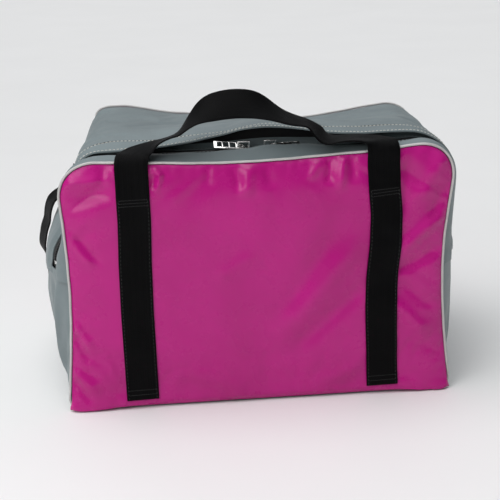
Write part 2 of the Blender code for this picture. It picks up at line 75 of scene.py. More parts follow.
TOP_R, BOTTOM_R = 0.045, 0.018
BOTTOM_ROLL, ROLL_REACH = 0.006, 0.016
CLOTH = 0.0012
WEB_W, WEB_T = 0.038, 0.0022
FLAP_T = 0.0016
FLAP_END_Z = 0.240
rng = np.random.RandomState(7)


def smooth(v):
    t = np.clip(v, 0.0, 1.0)
    return t * t * (3 - 2 * t)


def hill(v, centre, width):
    return np.exp(-(((v - centre) / width) ** 2))


# ---------------------------------------------------------------- materials
def shader(name, colour, rough, metallic=0.0, coat=0.0, coat_rough=0.1, sheen=0.0, specular=0.5):
    """A Principled material with its uniform values set on the shader itself."""
    made = bpy.data.materials.new(name)
    made.use_nodes = True
    tree = made.node_tree
    base = tree.nodes["Principled BSDF"]
    values = {
        "Base Color": (*colour, 1.0), "Roughness": rough, "Metallic": metallic, "Coat Weight": coat,
        "Coat Roughness": coat_rough, "Sheen Weight": sheen, "Sheen Roughness": 0.45,
        "Specular IOR Level": specular,
    }
    for socket, value in values.items():
        base.inputs[socket].default_value = value
    return made, tree, base


def node(tree, kind, **settings):
    made = tree.nodes.new(kind)
    for key, value in settings.items():
        if key in made.inputs:
            made.inputs[key].default_value = value
        else:
            setattr(made, key, value)
    return made


def place(tree, uv=True):
    """The cloth's own coordinates in metres, or the object's."""
    if uv:
        return node(tree, "ShaderNodeUVMap", uv_map="cloth").outputs["UV"]
    return node(tree, "ShaderNodeTexCoord").outputs["Object"]


def noise(tree, where, scale, detail=3.0, rough=0.55):
    made = node(tree, "ShaderNodeTexNoise", Scale=scale, Detail=detail, Roughness=rough)
    tree.links.new(where, made.inputs["Vector"])
    return made.outputs["Fac"]


def bands(tree, where, pitch, direction, distortion=0.0, angle=0.0):
    """Fine parallel threads, pitch metres apart."""
    if angle:
        turn = node(tree, "ShaderNodeMapping")
        turn.inputs["Rotation"].default_value = (0, 0, angle)
        tree.links.new(where, turn.inputs["Vector"])
        where = turn.outputs["Vector"]
    made = node(tree, "ShaderNodeTexWave", wave_type="BANDS", bands_direction=direction)
    made.inputs["Scale"].default_value = 2 * math.pi / (20 * pitch)
    made.inputs["Distortion"].default_value = distortion
    tree.links.new(where, made.inputs["Vector"])
    return made.outputs["Fac"]


def remap(tree, value, low, high, start=0.0, end=1.0):
    made = node(tree, "ShaderNodeMapRange")
    for socket, number in (("From Min", start), ("From Max", end), ("To Min", low), ("To Max", high)):
        made.inputs[socket].default_value = number
    tree.links.new(value, made.inputs["Value"])
    return made.outputs["Result"]


def maths(tree, operation, a, b):
    made = node(tree, "ShaderNodeMath", operation=operation)
    for socket, value in zip(made.inputs, (a, b)):
        if isinstance(value, (int, float)):
            socket.default_value = value
        else:
            tree.links.new(value, socket)
    return made.outputs[0]


def ramp(tree, value, *stops):
    made = node(tree, "ShaderNodeValToRGB")
    elements = made.color_ramp.elements
    while len(elements) < len(stops):
        elements.new(0.5)
    for element, (at, colour) in zip(elements, stops):
        element.position = at
        element.color = (*colour, 1.0)
    tree.links.new(value, made.inputs["Fac"])
    return made.outputs["Color"]


def bumps(tree, base, *layers):
    """Chained bumps of (height, strength, distance)."""
    before = None
    for height, strength, distance in layers:
        made = node(tree, "ShaderNodeBump", Strength=strength, Distance=distance)
        tree.links.new(height, made.inputs["Height"])
        if before is not None:
            tree.links.new(before, made.inputs["Normal"])
        before = made.outputs["Normal"]
    tree.links.new(before, base.inputs["Normal"])
    if base.inputs["Coat Weight"].default_value > 0:
        tree.links.new(before, base.inputs["Coat Normal"])


def tinted(colour, amount):
    return tuple(min(1.0, c * amount) for c in colour)


def tarpaulin(name, colour, dark, rough, ribs, coat):
    """Coated fabric: the scrim shows faintly through a glossy film."""
    made, tree, base = shader(name, colour, rough, coat=coat, coat_rough=0.16, specular=0.30)
    uv, body = place(tree), place(tree, False)
    cloudy = noise(tree, body, 9.0, 4.0)
    tone = ramp(tree, cloudy, (0.30, dark), (0.52, colour), (0.75, tinted(colour, 1.12)))
    tree.links.new(tone, base.inputs["Base Color"])
    smudge = noise(tree, body, 26.0, 6.0, 0.62)
    tree.links.new(remap(tree, smudge, rough - 0.05, rough + 0.09, 0.3, 0.7), base.inputs["Roughness"])
    warp = bands(tree, uv, 0.0016, "X", 0.4)
    weft = bands(tree, uv, 0.0016, "Y", 0.4)
    scrim = maths(tree, "ADD", warp, weft)
    handle = noise(tree, body, 60.0, 3.0)
    bumps(tree, base, (handle, 0.10, 0.0012), (scrim, ribs, 0.00012))
    return made


def webbing(name):
    """Nylon webbing: a fine herringbone; the thicker edge cords come from the ribbon's shape."""
    made, tree, base = shader(name, (0.003, 0.003, 0.0033), 0.52, sheen=0.002, specular=0.06)
    uv, body = place(tree), place(tree, False)
    left = bands(tree, uv, 0.0017, "X", 0.6, 0.9)
    right = bands(tree, uv, 0.0017, "X", 0.6, -0.9)
    rows = bands(tree, uv, 0.0028, "X", 0.0)
    which = maths(tree, "GREATER_THAN", bands(tree, uv, 0.0076, "X", 0.0), 0.5)
    chevron = maths(tree, "ADD", maths(tree, "MULTIPLY", left, which),
                    maths(tree, "MULTIPLY", right, maths(tree, "SUBTRACT", 1.0, which)))
    yarn = maths(tree, "ADD", chevron, maths(tree, "MULTIPLY", rows, 0.5))
    worn = noise(tree, body, 40.0, 5.0)
    shade = maths(tree, "MULTIPLY", yarn, worn)
    tone = ramp(tree, shade, (0.10, (0.0008, 0.0008, 0.001)), (0.55, (0.0025, 0.0025, 0.0028)),
                (0.95, (0.007, 0.007, 0.0075)))
    tree.links.new(tone, base.inputs["Base Color"])
    tree.links.new(remap(tree, worn, 0.42, 0.62, 0.3, 0.7), base.inputs["Roughness"])
    fuzz = noise(tree, body, 900.0, 2.0)
    bumps(tree, base, (worn, 0.15, 0.0012), (yarn, 0.55, 0.00035), (fuzz, 0.2, 0.0001))
    return made


def woven(name, colour, pitch, uv=True, rough=0.85):
    """A plain weave tape or binding."""
    made, tree, base = shader(name, colour, rough, sheen=0.1, specular=0.3)
    where = place(tree, uv)
    cross = maths(tree, "ADD", bands(tree, where, pitch, "X", 0.5), bands(tree, where, pitch, "Y", 0.5))
    lint = noise(tree, place(tree, False), 120.0, 4.0)
    shade = maths(tree, "MULTIPLY", cross, lint)
    tone = ramp(tree, shade, (0.1, tinted(colour, 0.5)), (0.5, colour), (0.9, tinted(colour, 1.8)))
    tree.links.new(tone, base.inputs["Base Color"])
    tree.links.new(remap(tree, lint, rough - 0.1, rough + 0.1, 0.3, 0.7), base.inputs["Roughness"])
    bumps(tree, base, (cross, 0.5, 0.0003), (lint, 0.15, 0.0006))
    return made


def plastic(name, colour, rough, grain, coat=0.0):
    """Moulded or extruded plastic with a faint grain."""
    made, tree, base = shader(name, colour, rough, coat=coat, coat_rough=0.25)
    body = place(tree, False)
    cloudy, fine = noise(tree, body, 30.0, 4.0), noise(tree, body, grain, 3.0)
    tone = ramp(tree, cloudy, (0.3, tinted(colour, 0.88)), (0.7, tinted(colour, 1.06)))
    tree.links.new(tone, base.inputs["Base Color"])
    tree.links.new(remap(tree, fine, rough - 0.06, rough + 0.10, 0.3, 0.7), base.inputs["Roughness"])
    bumps(tree, base, (fine, 0.20, 0.0002), (cloudy, 0.10, 0.0008))
    return made


def plated(name):
    """Bright nickel plate with fine polishing lines and handling marks."""
    made, tree, base = shader(name, (0.80, 0.79, 0.77), 0.16, metallic=1.0)
    body = place(tree, False)
    lines, marks = bands(tree, body, 0.0004, "X", 6.0), noise(tree, body, 320.0, 5.0)
    tone = ramp(tree, marks, (0.3, (0.62, 0.61, 0.60)), (0.6, (0.85, 0.84, 0.82)))
    tree.links.new(tone, base.inputs["Base Color"])
    tree.links.new(remap(tree, marks, 0.10, 0.28, 0.35, 0.75), base.inputs["Roughness"])
    bumps(tree, base, (marks, 0.12, 0.0002), (lines, 0.05, 0.00005))
    return made


def sewing_thread(name, colour):
    """Twisted polyester thread."""
    made, tree, base = shader(name, colour, 0.6, sheen=0.1)
    body = place(tree, False)
    twist, lint = bands(tree, body, 0.0006, "DIAGONAL", 1.0), noise(tree, body, 500.0, 3.0)
    tone = ramp(tree, twist, (0.1, tinted(colour, 0.72)), (0.7, colour))
    tree.links.new(tone, base.inputs["Base Color"])
    tree.links.new(remap(tree, lint, 0.5, 0.75, 0.3, 0.7), base.inputs["Roughness"])
    bumps(tree, base, (twist, 0.5, 0.0001), (lint, 0.3, 0.0001))
    return made


PINK = (0.50, 0.008, 0.215)
GREY = (0.178, 0.218, 0.228)
MATS = {
    "pink": tarpaulin("pink_tarpaulin_looks", PINK, (0.44, 0.006, 0.184), 0.26, 0.16, 0.12),
    "grey": tarpaulin("grey_tarpaulin_looks", GREY, (0.150, 0.185, 0.196), 0.46, 0.30, 0.10),
    "webbing": webbing("black_webbing_looks"),
    "piping": plastic("white_piping_looks", (0.56, 0.55, 0.54), 0.42, 500.0, coat=0.05),
    "tape": woven("zip_tape_looks", (0.010, 0.010, 0.011), 0.0008),
    "teeth": plastic("zip_teeth_looks", (0.012, 0.012, 0.013), 0.38, 900.0),
    "chrome": plated("plated_looks"),
    "white_thread": sewing_thread("white_thread_looks", (0.78, 0.77, 0.70)),
    "grey_thread": sewing_thread("grey_thread_looks", (0.30, 0.34, 0.35)),
    "black_thread": sewing_thread("black_thread_looks", (0.014, 0.014, 0.015)),
    "binding": woven("binding_looks", (0.014, 0.014, 0.015), 0.0016, uv=False),
    "board": plastic("stiffener_looks", (0.026, 0.026, 0.027), 0.55, 260.0),
}


# ---------------------------------------------------------------- the bag's form
# A station is (x, z, normal x, normal z) on the seam outline.
def straight(x0, z0, x1, z1, step):
    length = math.hypot(x1 - x0, z1 - z0)
    t = np.arange(max(1, round(length / step))) / max(1, round(length / step))
    dx, dz = (x1 - x0) / length, (z1 - z0) / length
    return np.stack([x0 + (x1 - x0) * t, z0 + (z1 - z0) * t, 0 * t - dz, 0 * t + dx], 1)


def corner(cx, cz, radius, start, end, step):
    count = max(3, round(abs(math.radians(end - start)) * radius / step))
    a = np.radians(start + (end - start) * np.arange(count) / count)
    return np.stack([cx + radius * np.cos(a), cz + radius * np.sin(a), np.cos(a), np.sin(a)], 1)


def top_path(low_z, step=0.004, right=True):
    """Up the left end, over the top and down the right end."""
    x, z = HALF_W - TOP_R, HEIGHT - TOP_R
    parts = [straight(-HALF_W, low_z, -HALF_W, z, step), corner(-x, z, TOP_R, 180, 90, step)]
    if not right:
        return parts
    parts += [straight(-x, HEIGHT, x, HEIGHT, step), corner(x, z, TOP_R, 90, 0, step)]
    parts += [straight(HALF_W, z, HALF_W, low_z, step), np.array([[HALF_W, low_z, 1.0, 0.0]])]
    return np.concatenate(parts)


def bottom_path(step=0.004):
    x = HALF_W - BOTTOM_R
    parts = [corner(x, BOTTOM_R, BOTTOM_R, 0, -90, step), straight(x, 0, -x, 0, step)]
    parts += [corner(-x, BOTTOM_R, BOTTOM_R, -90, -180, step), np.array([[-HALF_W, BOTTOM_R, -1.0, 0.0]])]
    return np.concatenate(parts)


def end_path(side, low, high, step=0.004):
    up = straight(-HALF_W, low, -HALF_W, high, step)
    up = np.concatenate([up, [[-HALF_W, high, -1.0, 0.0]]])
    return up if side < 0 else up[::-1] * np.array([-1, 1, -1, 1])


def outline(step=0.004):
    return np.concatenate([top_path(BOTTOM_R, step)[:-1], bottom_path(step)[:-1]])


def end_bulge(y, z, nx):
    up = np.sin(np.pi * np.clip((z - BOTTOM_R) / (HEIGHT - BOTTOM_R), 0, 1)) ** 0.75
    return 0.0185 * nx * nx * up * (1 - np.abs(np.clip(y / SEAM_Y, -1, 1)) ** 3)


def bottom_roll(y, nz):
    edge = smooth(1 - (SEAM_Y - np.abs(y)) / ROLL_REACH)
    return BOTTOM_ROLL * np.maximum(0.0, -nz) * edge


def sag(p):
    """The soft form of the whole bag: its waist, its dipped top edges and its leaning back."""
    x, y, z = p[..., 0], p[..., 1], p[..., 2]
    seam = np.minimum(np.abs(y / HALF_D), 1.1) ** 6
    left, right = smooth(0.5 - x / 0.08), smooth(0.5 + x / 0.08)
    waist = (0.0095 * left + 0.0125 * right) * np.sin(np.pi * np.clip(z / HEIGHT, 0, 1)) * seam - 0.0022 * left
    side = np.sign(x) * np.minimum(np.abs(x / HALF_W), 1.1) ** 4
    front = smooth((-y - 0.120) / 0.028) * smooth((z - 0.20) / 0.09)
    back = smooth((y + 0.085) / 0.235) * smooth((z - 0.08) / 0.21)
    dip = -0.008 * hill(x, -0.025, 0.13) * front
    dip = dip + (-0.016 * hill(x, 0.05, 0.10) + 0.010 * smooth((-x - 0.085) / 0.085)) * back
    dip = dip + (0.0055 - 0.003 * back) * smooth((x - 0.12) / 0.09) * smooth((z - 0.18) / 0.10)
    # the top of the left end falls in behind the front corner
    fall_in = 0.030 * smooth((y + 0.150) / 0.035) * smooth((z - 0.175) / 0.07) * smooth((-x - 0.12) / 0.08)
    fall_in = fall_in * (0.20 + 0.80 * smooth((0.310 - z) / 0.045))
    shoulder = 0.003 * smooth((x - 0.17) / 0.05) * smooth((z - 0.18) / 0.08)
    # the bottom corners stand squarely on the floor
    low = smooth((0.05 - z) / 0.05) * seam
    foot_out = 0.006 * smooth((0.016 - z) / 0.016) * smooth((np.abs(x) - 0.19) / 0.03) * seam
    foot_down = 0.0055 * smooth((np.abs(x) - 0.12) / 0.09) * low * smooth(z / 0.008)
    out = np.array(p, float)
    lean = (0.011 * left + 0.021 * right) * back
    out[..., 0] = x - waist * side + lean + fall_in + shoulder + foot_out * np.sign(x)
    out[..., 1] = y + np.sign(y) * 0.003 * foot_down / 0.0055
    out[..., 2] = z + dip - foot_down
    return out


def on_gusset(stations, y, off):
    """Points over the gusset: y and off are rows across it, in metres."""
    x, z, nx, nz = (stations[:, k, None] for k in range(4))
    y = np.broadcast_to(y, (len(stations), np.shape(y)[-1]))
    out = off + end_bulge(y, z, nx) - bottom_roll(y, nz)
    tuck = 0.0014 * np.exp(-(SEAM_Y - np.abs(y)) / 0.003)
    out = out - tuck
    return np.stack([x + nx * out, y + 0 * out, z + nz * out], 2)


# ---------------------------------------------------------------- mesh making
def normals(p):
    n = np.cross(np.gradient(p, axis=0), np.gradient(p, axis=1))
    return n / np.maximum(np.linalg.norm(n, axis=2, keepdims=True), 1e-12)


def outwards(p):
    """The grid, turned so that its normals point out of the bag."""
    n = normals(p)
    away = p - np.array([0.0, 0.0, HEIGHT / 2])
    return p if (n * away).sum() > 0 else p[:, ::-1]


def lengths(p, axis):
    step = np.linalg.norm(np.diff(p, axis=axis), axis=2).mean(axis=1 - axis)
    return np.concatenate([[0.0], np.cumsum(step)])


def refine(p):
    """Twice as many points along both ways, on smooth curves."""
    for axis in (0, 1):
        p = np.swapaxes(p, 0, axis)
        padded = np.concatenate([2 * p[:1] - p[1:2], p, 2 * p[-1:] - p[-2:-1]])
        middle = (9 * (padded[1:-2] + padded[2:-1]) - padded[:-3] - padded[3:]) / 16
        out = np.empty((2 * len(p) - 1, *p.shape[1:]))
        out[0::2], out[1::2] = p, middle
        p = np.swapaxes(out, 0, axis)
    return p


def quads(nu, nv, wrap_u=False, base=0):
    i = np.arange(nu if wrap_u else nu - 1)[:, None]
    j = np.arange(nv - 1)[None, :]
    nxt = (i + 1) % nu
    f = np.stack([i * nv + j, nxt * nv + j, nxt * nv + j + 1, i * nv + j + 1], 2)
    return f.reshape(-1, 4) + base


def publish(name, verts, faces, mat, uv=None, sharp=50, body=None, slot=None, replaces=()):
    """A finished piece from points and faces."""
    mesh = bpy.data.meshes.new(name)
    mesh.from_pydata(np.asarray(verts).reshape(-1, 3).tolist(), [], [list(map(int, f)) for f in faces])
    if uv is not None:
        layer = mesh.uv_layers.new(name="cloth")
        index = np.zeros(len(mesh.loops), np.int32)
        mesh.loops.foreach_get("vertex_index", index)
        layer.data.foreach_set("uv", np.asarray(uv, np.float32).reshape(-1, 2)[index].ravel())
    shell = bmesh.new()
    shell.from_mesh(mesh)
    bmesh.ops.recalc_face_normals(shell, faces=shell.faces)
    shell.to_mesh(mesh)
    shell.free()
    mesh.materials.append(MATS[mat])
    mesh.shade_smooth()
    mesh.set_sharp_from_angle(angle=math.radians(sharp))
    made = bpy.data.objects.new(name, mesh)
    bpy.context.scene.collection.objects.link(made)
    if replaces:
        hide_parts(*replaces)
    if body:
        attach(made, body)
    return made


def skin(name, p, mat, thickness=CLOTH, **kw):
    """A sheet of cloth with real thickness: p is its outer face."""
    p = outwards(p)
    nu, nv = p.shape[:2]
    inner = p - normals(p) * thickness
    size = nu * nv
    faces = [*quads(nu, nv), *quads(nu, nv, base=size)[:, ::-1]]
    loop = [i * nv for i in range(nu)] + [(nu - 1) * nv + j for j in range(1, nv)]
    loop += [i * nv + nv - 1 for i in range(nu - 2, -1, -1)] + [j for j in range(nv - 2, 0, -1)]
    faces += [(a, b, b + size, a + size) for a, b in zip(loop, loop[1:] + loop[:1])]
    u, v = np.meshgrid(lengths(p, 0), lengths(p, 1), indexing="ij")
    uv = np.stack([u, v], 2)
    return publish(name, np.stack([p, inner]), faces, mat, uv=np.stack([uv, uv]), **kw)


def tube(name, centres, normals_, binormals, radius, mat, sides=10, **kw):
    """A closed cord through centres."""
    a = 2 * np.pi * np.arange(sides) / sides
    ring = centres[:, None] + radius * (np.cos(a)[None, :, None] * normals_[:, None]
                                        + np.sin(a)[None, :, None] * binormals[:, None])
    n = len(centres)
    i, j = np.arange(n)[:, None], np.arange(sides)[None, :]
    f = np.stack([i * sides + j, (i + 1) % n * sides + j, (i + 1) % n * sides + (j + 1) % sides,
                  i * sides + (j + 1) % sides], 2).reshape(-1, 4)
    return publish(name, ring, f, mat, **kw)


def stitches(name, path, up, mat, length=0.0032, gap=0.0013, radius=0.00036, **kw):
    """A row of single stitches lying along a line of points."""
    step = np.linalg.norm(np.diff(path, axis=0), axis=1)
    s = np.concatenate([[0.0], np.cumsum(step)])
    verts, faces = [], []
    sides, rings = 6, ((0.0, 0.25, -0.9), (0.12, 0.85, -0.2), (0.5, 1.0, 0.35), (0.88, 0.85, -0.2), (1.0, 0.25, -0.9))
    at = gap
    while at + length < s[-1]:
        ends = np.array([[np.interp(at + t * length, s, path[:, k]) for k in range(3)] for t in (0, 1)])
        top = np.array([np.interp(at, s, up[:, k]) for k in range(3)])
        along = ends[1] - ends[0]
        along /= np.linalg.norm(along)
        across = np.cross(along, top)
        across /= np.linalg.norm(across)
        top = np.cross(across, along)
        lean = rng.uniform(-0.08, 0.08)
        base = len(verts)
        for t, wide, high in rings:
            c = ends[0] + (ends[1] - ends[0]) * t + top * radius * high + across * radius * lean * (t - 0.5) * 8
            for k in range(sides):
                a = 2 * math.pi * k / sides
                verts.append(c + radius * wide * (across * math.cos(a) + top * math.sin(a)))
        for r in range(len(rings) - 1):
            for k in range(sides):
                k2 = (k + 1) % sides
                faces.append((base + r * sides + k, base + r * sides + k2, base + (r + 1) * sides + k2,
                              base + (r + 1) * sides + k))
        faces.append(tuple(base + k for k in reversed(range(sides))))
        faces.append(tuple(base + (len(rings) - 1) * sides + k for k in range(sides)))
        at += length + gap
    return publish(name, np.array(verts), faces, mat, **kw)


# ---------------------------------------------------------------- cloth simulation
def relax(p, pinned, grow, pressure, frames=22, bend=0.6, cap=0.006):
    """The grid after a cloth simulation with its pinned points held. grow is its spare cloth."""
    p = outwards(p)
    nu, nv = p.shape[:2]
    mesh = bpy.data.meshes.new("sim")
    mesh.from_pydata(p.reshape(-1, 3).tolist(), [], quads(nu, nv).tolist())
    work = bpy.data.objects.new("sim", mesh)
    bpy.context.scene.collection.objects.link(work)
    group = work.vertex_groups.new(name="pin")
    group.add(np.flatnonzero(pinned.reshape(-1)).tolist(), 1.0, "REPLACE")
    cloth = work.modifiers.new("cloth", "CLOTH")
    s = cloth.settings
    s.quality = 6
    s.mass = 0.25
    s.tension_stiffness = s.compression_stiffness = 40
    s.shear_stiffness = 25
    s.bending_stiffness = bend
    s.air_damping = 2.0
    s.vertex_group_mass = "pin"
    s.shrink_min = s.shrink_max = -grow
    s.use_pressure = True
    s.uniform_pressure_force = pressure
    s.effector_weights.gravity = 0.0
    cloth.collision_settings.use_collision = False
    cloth.point_cache.frame_start, cloth.point_cache.frame_end = 1, frames
    scene = bpy.context.scene
    scene.frame_start, scene.frame_end = 1, frames
    for f in range(1, frames + 1):
        scene.frame_set(f)
    done = work.evaluated_get(bpy.context.evaluated_depsgraph_get()).data
    co = np.zeros(nu * nv * 3)
    done.vertices.foreach_get("co", co)
    bpy.data.objects.remove(work)
    bpy.data.meshes.remove(mesh)
    scene.frame_set(1)
    move = co.reshape(nu, nv, 3) - p
    size = np.linalg.norm(move, axis=2, keepdims=True)
    return p + move * cap * np.tanh(size / cap) / np.maximum(size, 1e-9)


def blur(a, times):
    for _ in range(times):
        for axis in (0, 1):
            b = np.swapaxes(a, 0, axis)
            padded = np.concatenate([b[:1], b, b[-1:]])
            a = np.swapaxes((padded[:-2] + 2 * padded[1:-1] + padded[2:]) / 4, 0, axis)
    return a


def away_from(pins, reach=9):
    """0 on the pinned points, rising smoothly to 1 over reach grid steps."""
    free = np.pad(~pins, 1).astype(float)
    total = np.zeros(pins.shape)
    for _ in range(reach):
        total += free[1:-1, 1:-1]
        free[1:-1, 1:-1] = np.minimum.reduce([free[1:-1, 1:-1], free[:-2, 1:-1], free[2:, 1:-1], free[1:-1, :-2],
                                              free[1:-1, 2:]])
    return smooth(total / reach)[..., None]


def wrinkled(base, pins, grow, pressure, keep=0.3, fine=1.0, times=40, **kw):
    """base with the fine folds, and some of the broad swelling, of its simulation."""
    turned = outwards(base)
    flipped = turned is not base
    held = pins[:, ::-1] if flipped else pins
    move = relax(turned, held, grow, pressure, **kw) - turned
    wide = blur(move, times)
    out = turned + away_from(held) * (keep * wide + fine * (move - wide))
    return out[:, ::-1] if flipped else out


# ---------------------------------------------------------------- big panels
PANEL_INSET = PIPE_R + 0.0001


def ridge(x, z, x0, z0, x1, z1, width, height):
    """A soft fold from one point to another: positive stands out, negative sinks in."""
    dx, dz = x1 - x0, z1 - z0
    length = math.hypot(dx, dz)
    t = ((x - x0) * dx + (z - z0) * dz) / length**2
    off = ((x - x0) * -dz + (z - z0) * dx) / length
    ends = smooth((t + 0.25) / 0.5) * smooth((1.25 - t) / 0.5)
    return height * ends * np.exp(-((off / width) ** 2))


def gathers(s, d, spacing, depth, seed):
    """Small puckers that run out from a seam: s along it, d away from it."""
    draw = np.random.RandomState(seed)
    total = np.zeros_like(s)
    at = s.min()
    while at < s.max():
        strong = draw.uniform(0.15, 1.0) ** 2
        width = draw.uniform(0.0022, 0.0045)
        reach = 0.006 + 0.022 * strong * draw.uniform(0.5, 1.0)
        slant = draw.uniform(-0.35, 0.35)
        spread = width * (1 + d / 0.012)
        near = smooth(d / 0.003) * np.exp(-d / reach)
        total += depth * strong * near * (
            0.7 * hill(s, at + slant * d + 1.5 * width, spread) - hill(s, at + slant * d, spread))
        at += spacing * draw.uniform(0.6, 1.5)
    return total


FRONT_FOLDS = (
    # the crescent and the dent beside the left strap
    (-0.121, 0.2965, -0.112, 0.287, 0.0030, 0.0030), (-0.112, 0.288, -0.118, 0.270, 0.0032, 0.0028),
    (-0.122, 0.286, -0.122, 0.272, 0.0045, -0.0024),
    # puckers that fan out from the top seam
    (-0.010, 0.296, -0.016, 0.262, 0.0085, 0.0026), (-0.030, 0.294, -0.022, 0.270, 0.0060, -0.0018),
    (0.008, 0.296, 0.012, 0.270, 0.0060, -0.0016), (0.070, 0.294, 0.058, 0.276, 0.0050, 0.0018),
    (0.082, 0.297, 0.080, 0.270, 0.0048, -0.0026), (0.097, 0.297, 0.093, 0.262, 0.0055, 0.0030),
    (0.107, 0.297, 0.110, 0.270, 0.0045, -0.0022), (-0.058, 0.296, -0.060, 0.276, 0.0050, -0.0014),
    (-0.175, 0.297, -0.180, 0.276, 0.0050, -0.0018), (-0.166, 0.297, -0.164, 0.284, 0.0035, 0.0014),
    # the flat facet in the top left corner and the dimples down the left edge
    (-0.222, 0.277, -0.172, 0.280, 0.0055, 0.0022), (-0.218, 0.262, -0.170, 0.262, 0.0090, -0.0018),
    (-0.222, 0.210, -0.200, 0.180, 0.0045, 0.0026), (-0.214, 0.212, -0.190, 0.184, 0.0050, -0.0018),
    (-0.226, 0.110, -0.205, 0.080, 0.0050, 0.0022), (-0.226, 0.096, -0.208, 0.066, 0.0050, -0.0020),
    (-0.226, 0.052, -0.200, 0.030, 0.0055, 0.0022), (-0.226, 0.040, -0.206, 0.022, 0.0045, -0.0018),
    # long soft folds: middle, lower right and right of the right strap
    (-0.050, 0.158, -0.012, 0.182, 0.0090, 0.0012), (0.020, 0.085, 0.110, 0.185, 0.0160, 0.0034),
    (0.045, 0.070, 0.125, 0.140, 0.0120, -0.0030), (0.030, 0.110, 0.090, 0.215, 0.0150, -0.0018),
    (0.168, 0.180, 0.215, 0.215, 0.0085, 0.0038), (0.166, 0.156, 0.222, 0.178, 0.0080, -0.0034),
    (0.160, 0.116, 0.200, 0.078, 0.0090, 0.0034), (0.172, 0.140, 0.214, 0.105, 0.0080, -0.0024),
    (0.215, 0.285, 0.190, 0.240, 0.0090, 0.0030), (0.222, 0.250, 0.206, 0.215, 0.0080, -0.0024),
    (0.176, 0.290, 0.168, 0.225, 0.0075, -0.0026), (-0.090, 0.040, -0.020, 0.020, 0.0100, 0.0018),
    (0.060, 0.022, 0.120, 0.036, 0.0090, 0.0018), (-0.110, 0.120, -0.050, 0.060, 0.0160, -0.0016),
)
BACK_FOLDS = (
    (-0.200, 0.270, -0.165, 0.225, 0.0080, 0.0030), (-0.190, 0.285, -0.150, 0.262, 0.0070, -0.0022),
    (0.040, 0.296, 0.030, 0.250, 0.0090, 0.0030), (0.062, 0.296, 0.064, 0.258, 0.0070, -0.0028),
    (0.020, 0.295, 0.006, 0.262, 0.0070, -0.0024), (-0.060, 0.090, 0.060, 0.170, 0.0180, 0.0032),
    (-0.050, 0.060, 0.080, 0.130, 0.0140, -0.0028), (0.170, 0.200, 0.216, 0.150, 0.0090, 0.0032),
    (0.165, 0.170, 0.212, 0.120, 0.0080, -0.0026), (-0.222, 0.150, -0.170, 0.110, 0.0090, 0.0030),
    (-0.220, 0.090, -0.180, 0.060, 0.0080, -0.0024), (0.200, 0.280, 0.170, 0.240, 0.0080, 0.0026),
)


def seam_line(x, top):
    """The panel's edge over x, above (top) or below."""
    xc, a = HALF_W - (TOP_R if top else BOTTOM_R), np.abs(x)
    radius = (TOP_R if top else BOTTOM_R) - PANEL_INSET
    drop = radius - np.sqrt(np.maximum(radius**2 - np.maximum(a - xc, 0) ** 2, 0))
    if top:
        return HEIGHT - PANEL_INSET - drop
    return PANEL_INSET + BOTTOM_ROLL + drop * (1 - BOTTOM_ROLL / BOTTOM_R)


def big_panel(name, side, node_name, folds, seed):
    """The front (side -1) or back (side 1) panel: crowned, gathered at its seams, softly folded."""
    edge = HALF_W - PANEL_INSET
    flat = HALF_W - TOP_R
    turn = np.radians(np.linspace(8, 90, 10))
    arc_x = flat + (TOP_R - PANEL_INSET) * np.sin(turn)
    xs = np.concatenate([-arc_x[::-1], np.linspace(-flat, flat, 82), arc_x])
    rows = np.linspace(0, 1, 64)
    rows = rows - 0.012 * np.sin(2 * np.pi * rows)
    x = np.repeat(xs[:, None], len(rows), 1)
    low, high = seam_line(x, False), seam_line(x, True)
    z = low + (high - low) * rows
    swell = np.maximum(0, 1 - (x / HALF_W) ** 2) ** 0.8 * np.maximum(0, 1 - (2 * z / HEIGHT - 1) ** 2) ** 0.8
    p = np.stack([x, side * (HALF_D - 0.0004 + 0.0045 * swell), z], 2)
    hang = np.exp(-(z - low) / 0.016)
    p[..., 1] += side * (0.0010 + 0.0055 * (1 - np.exp(-(z - low) / 0.0035))) * hang
    p[..., 2] = np.maximum(p[..., 2] - 0.0062 * hang, 0.0015)
    p = sag(p)
    p[..., 2] = np.maximum(p[..., 2], 0.0006)
    pinned = np.zeros(x.shape, bool)
    pinned[0], pinned[-1], pinned[:, 0], pinned[:, -1] = True, True, True, True
    p = refine(wrinkled(p, pinned, grow=0.010, pressure=1.5, keep=0.25, times=60))
    u = refine(np.stack([x, z, 0 * x], 2))
    x, z = u[..., 0], u[..., 1]
    top_d, low_d = seam_line(x, True) - z, z - seam_line(x, False)
    side_d = edge - np.abs(x)
    out = 1.35 * sum(ridge(x, z, *fold) for fold in folds)
    out = out + gathers(x, np.maximum(top_d, 0), 0.013, 0.0013, seed)
    out = out + gathers(x, np.maximum(low_d, 0), 0.018, 0.0014, seed + 1)
    for k, s in ((2, -1), (3, 1)):
        out = out + gathers(z, np.maximum(edge - s * x, 0), 0.017, 0.0016, seed + k)
    d = np.minimum(np.minimum(np.maximum(top_d, 0), np.maximum(low_d, 0)), np.maximum(side_d, 0))
    out = out * smooth(d / 0.004) + 0.0016 * (1 - np.exp(-d / 0.0035))
    roll = 0.0034 * (1 - np.exp(-np.maximum(top_d, 0) / 0.010))
    out = out + roll * (1 - np.exp(-np.maximum(side_d, 0) / 0.008))
    p[..., 1] += side * out
    return skin(name, p, "pink", body="bag", slot="pink_tarpaulin", replaces=(node_name,))


front_panel = big_panel("front_cover", -1, "front_panel", FRONT_FOLDS, 20)
back_panel = big_panel("back_cover", 1, "back_panel", BACK_FOLDS, 60)


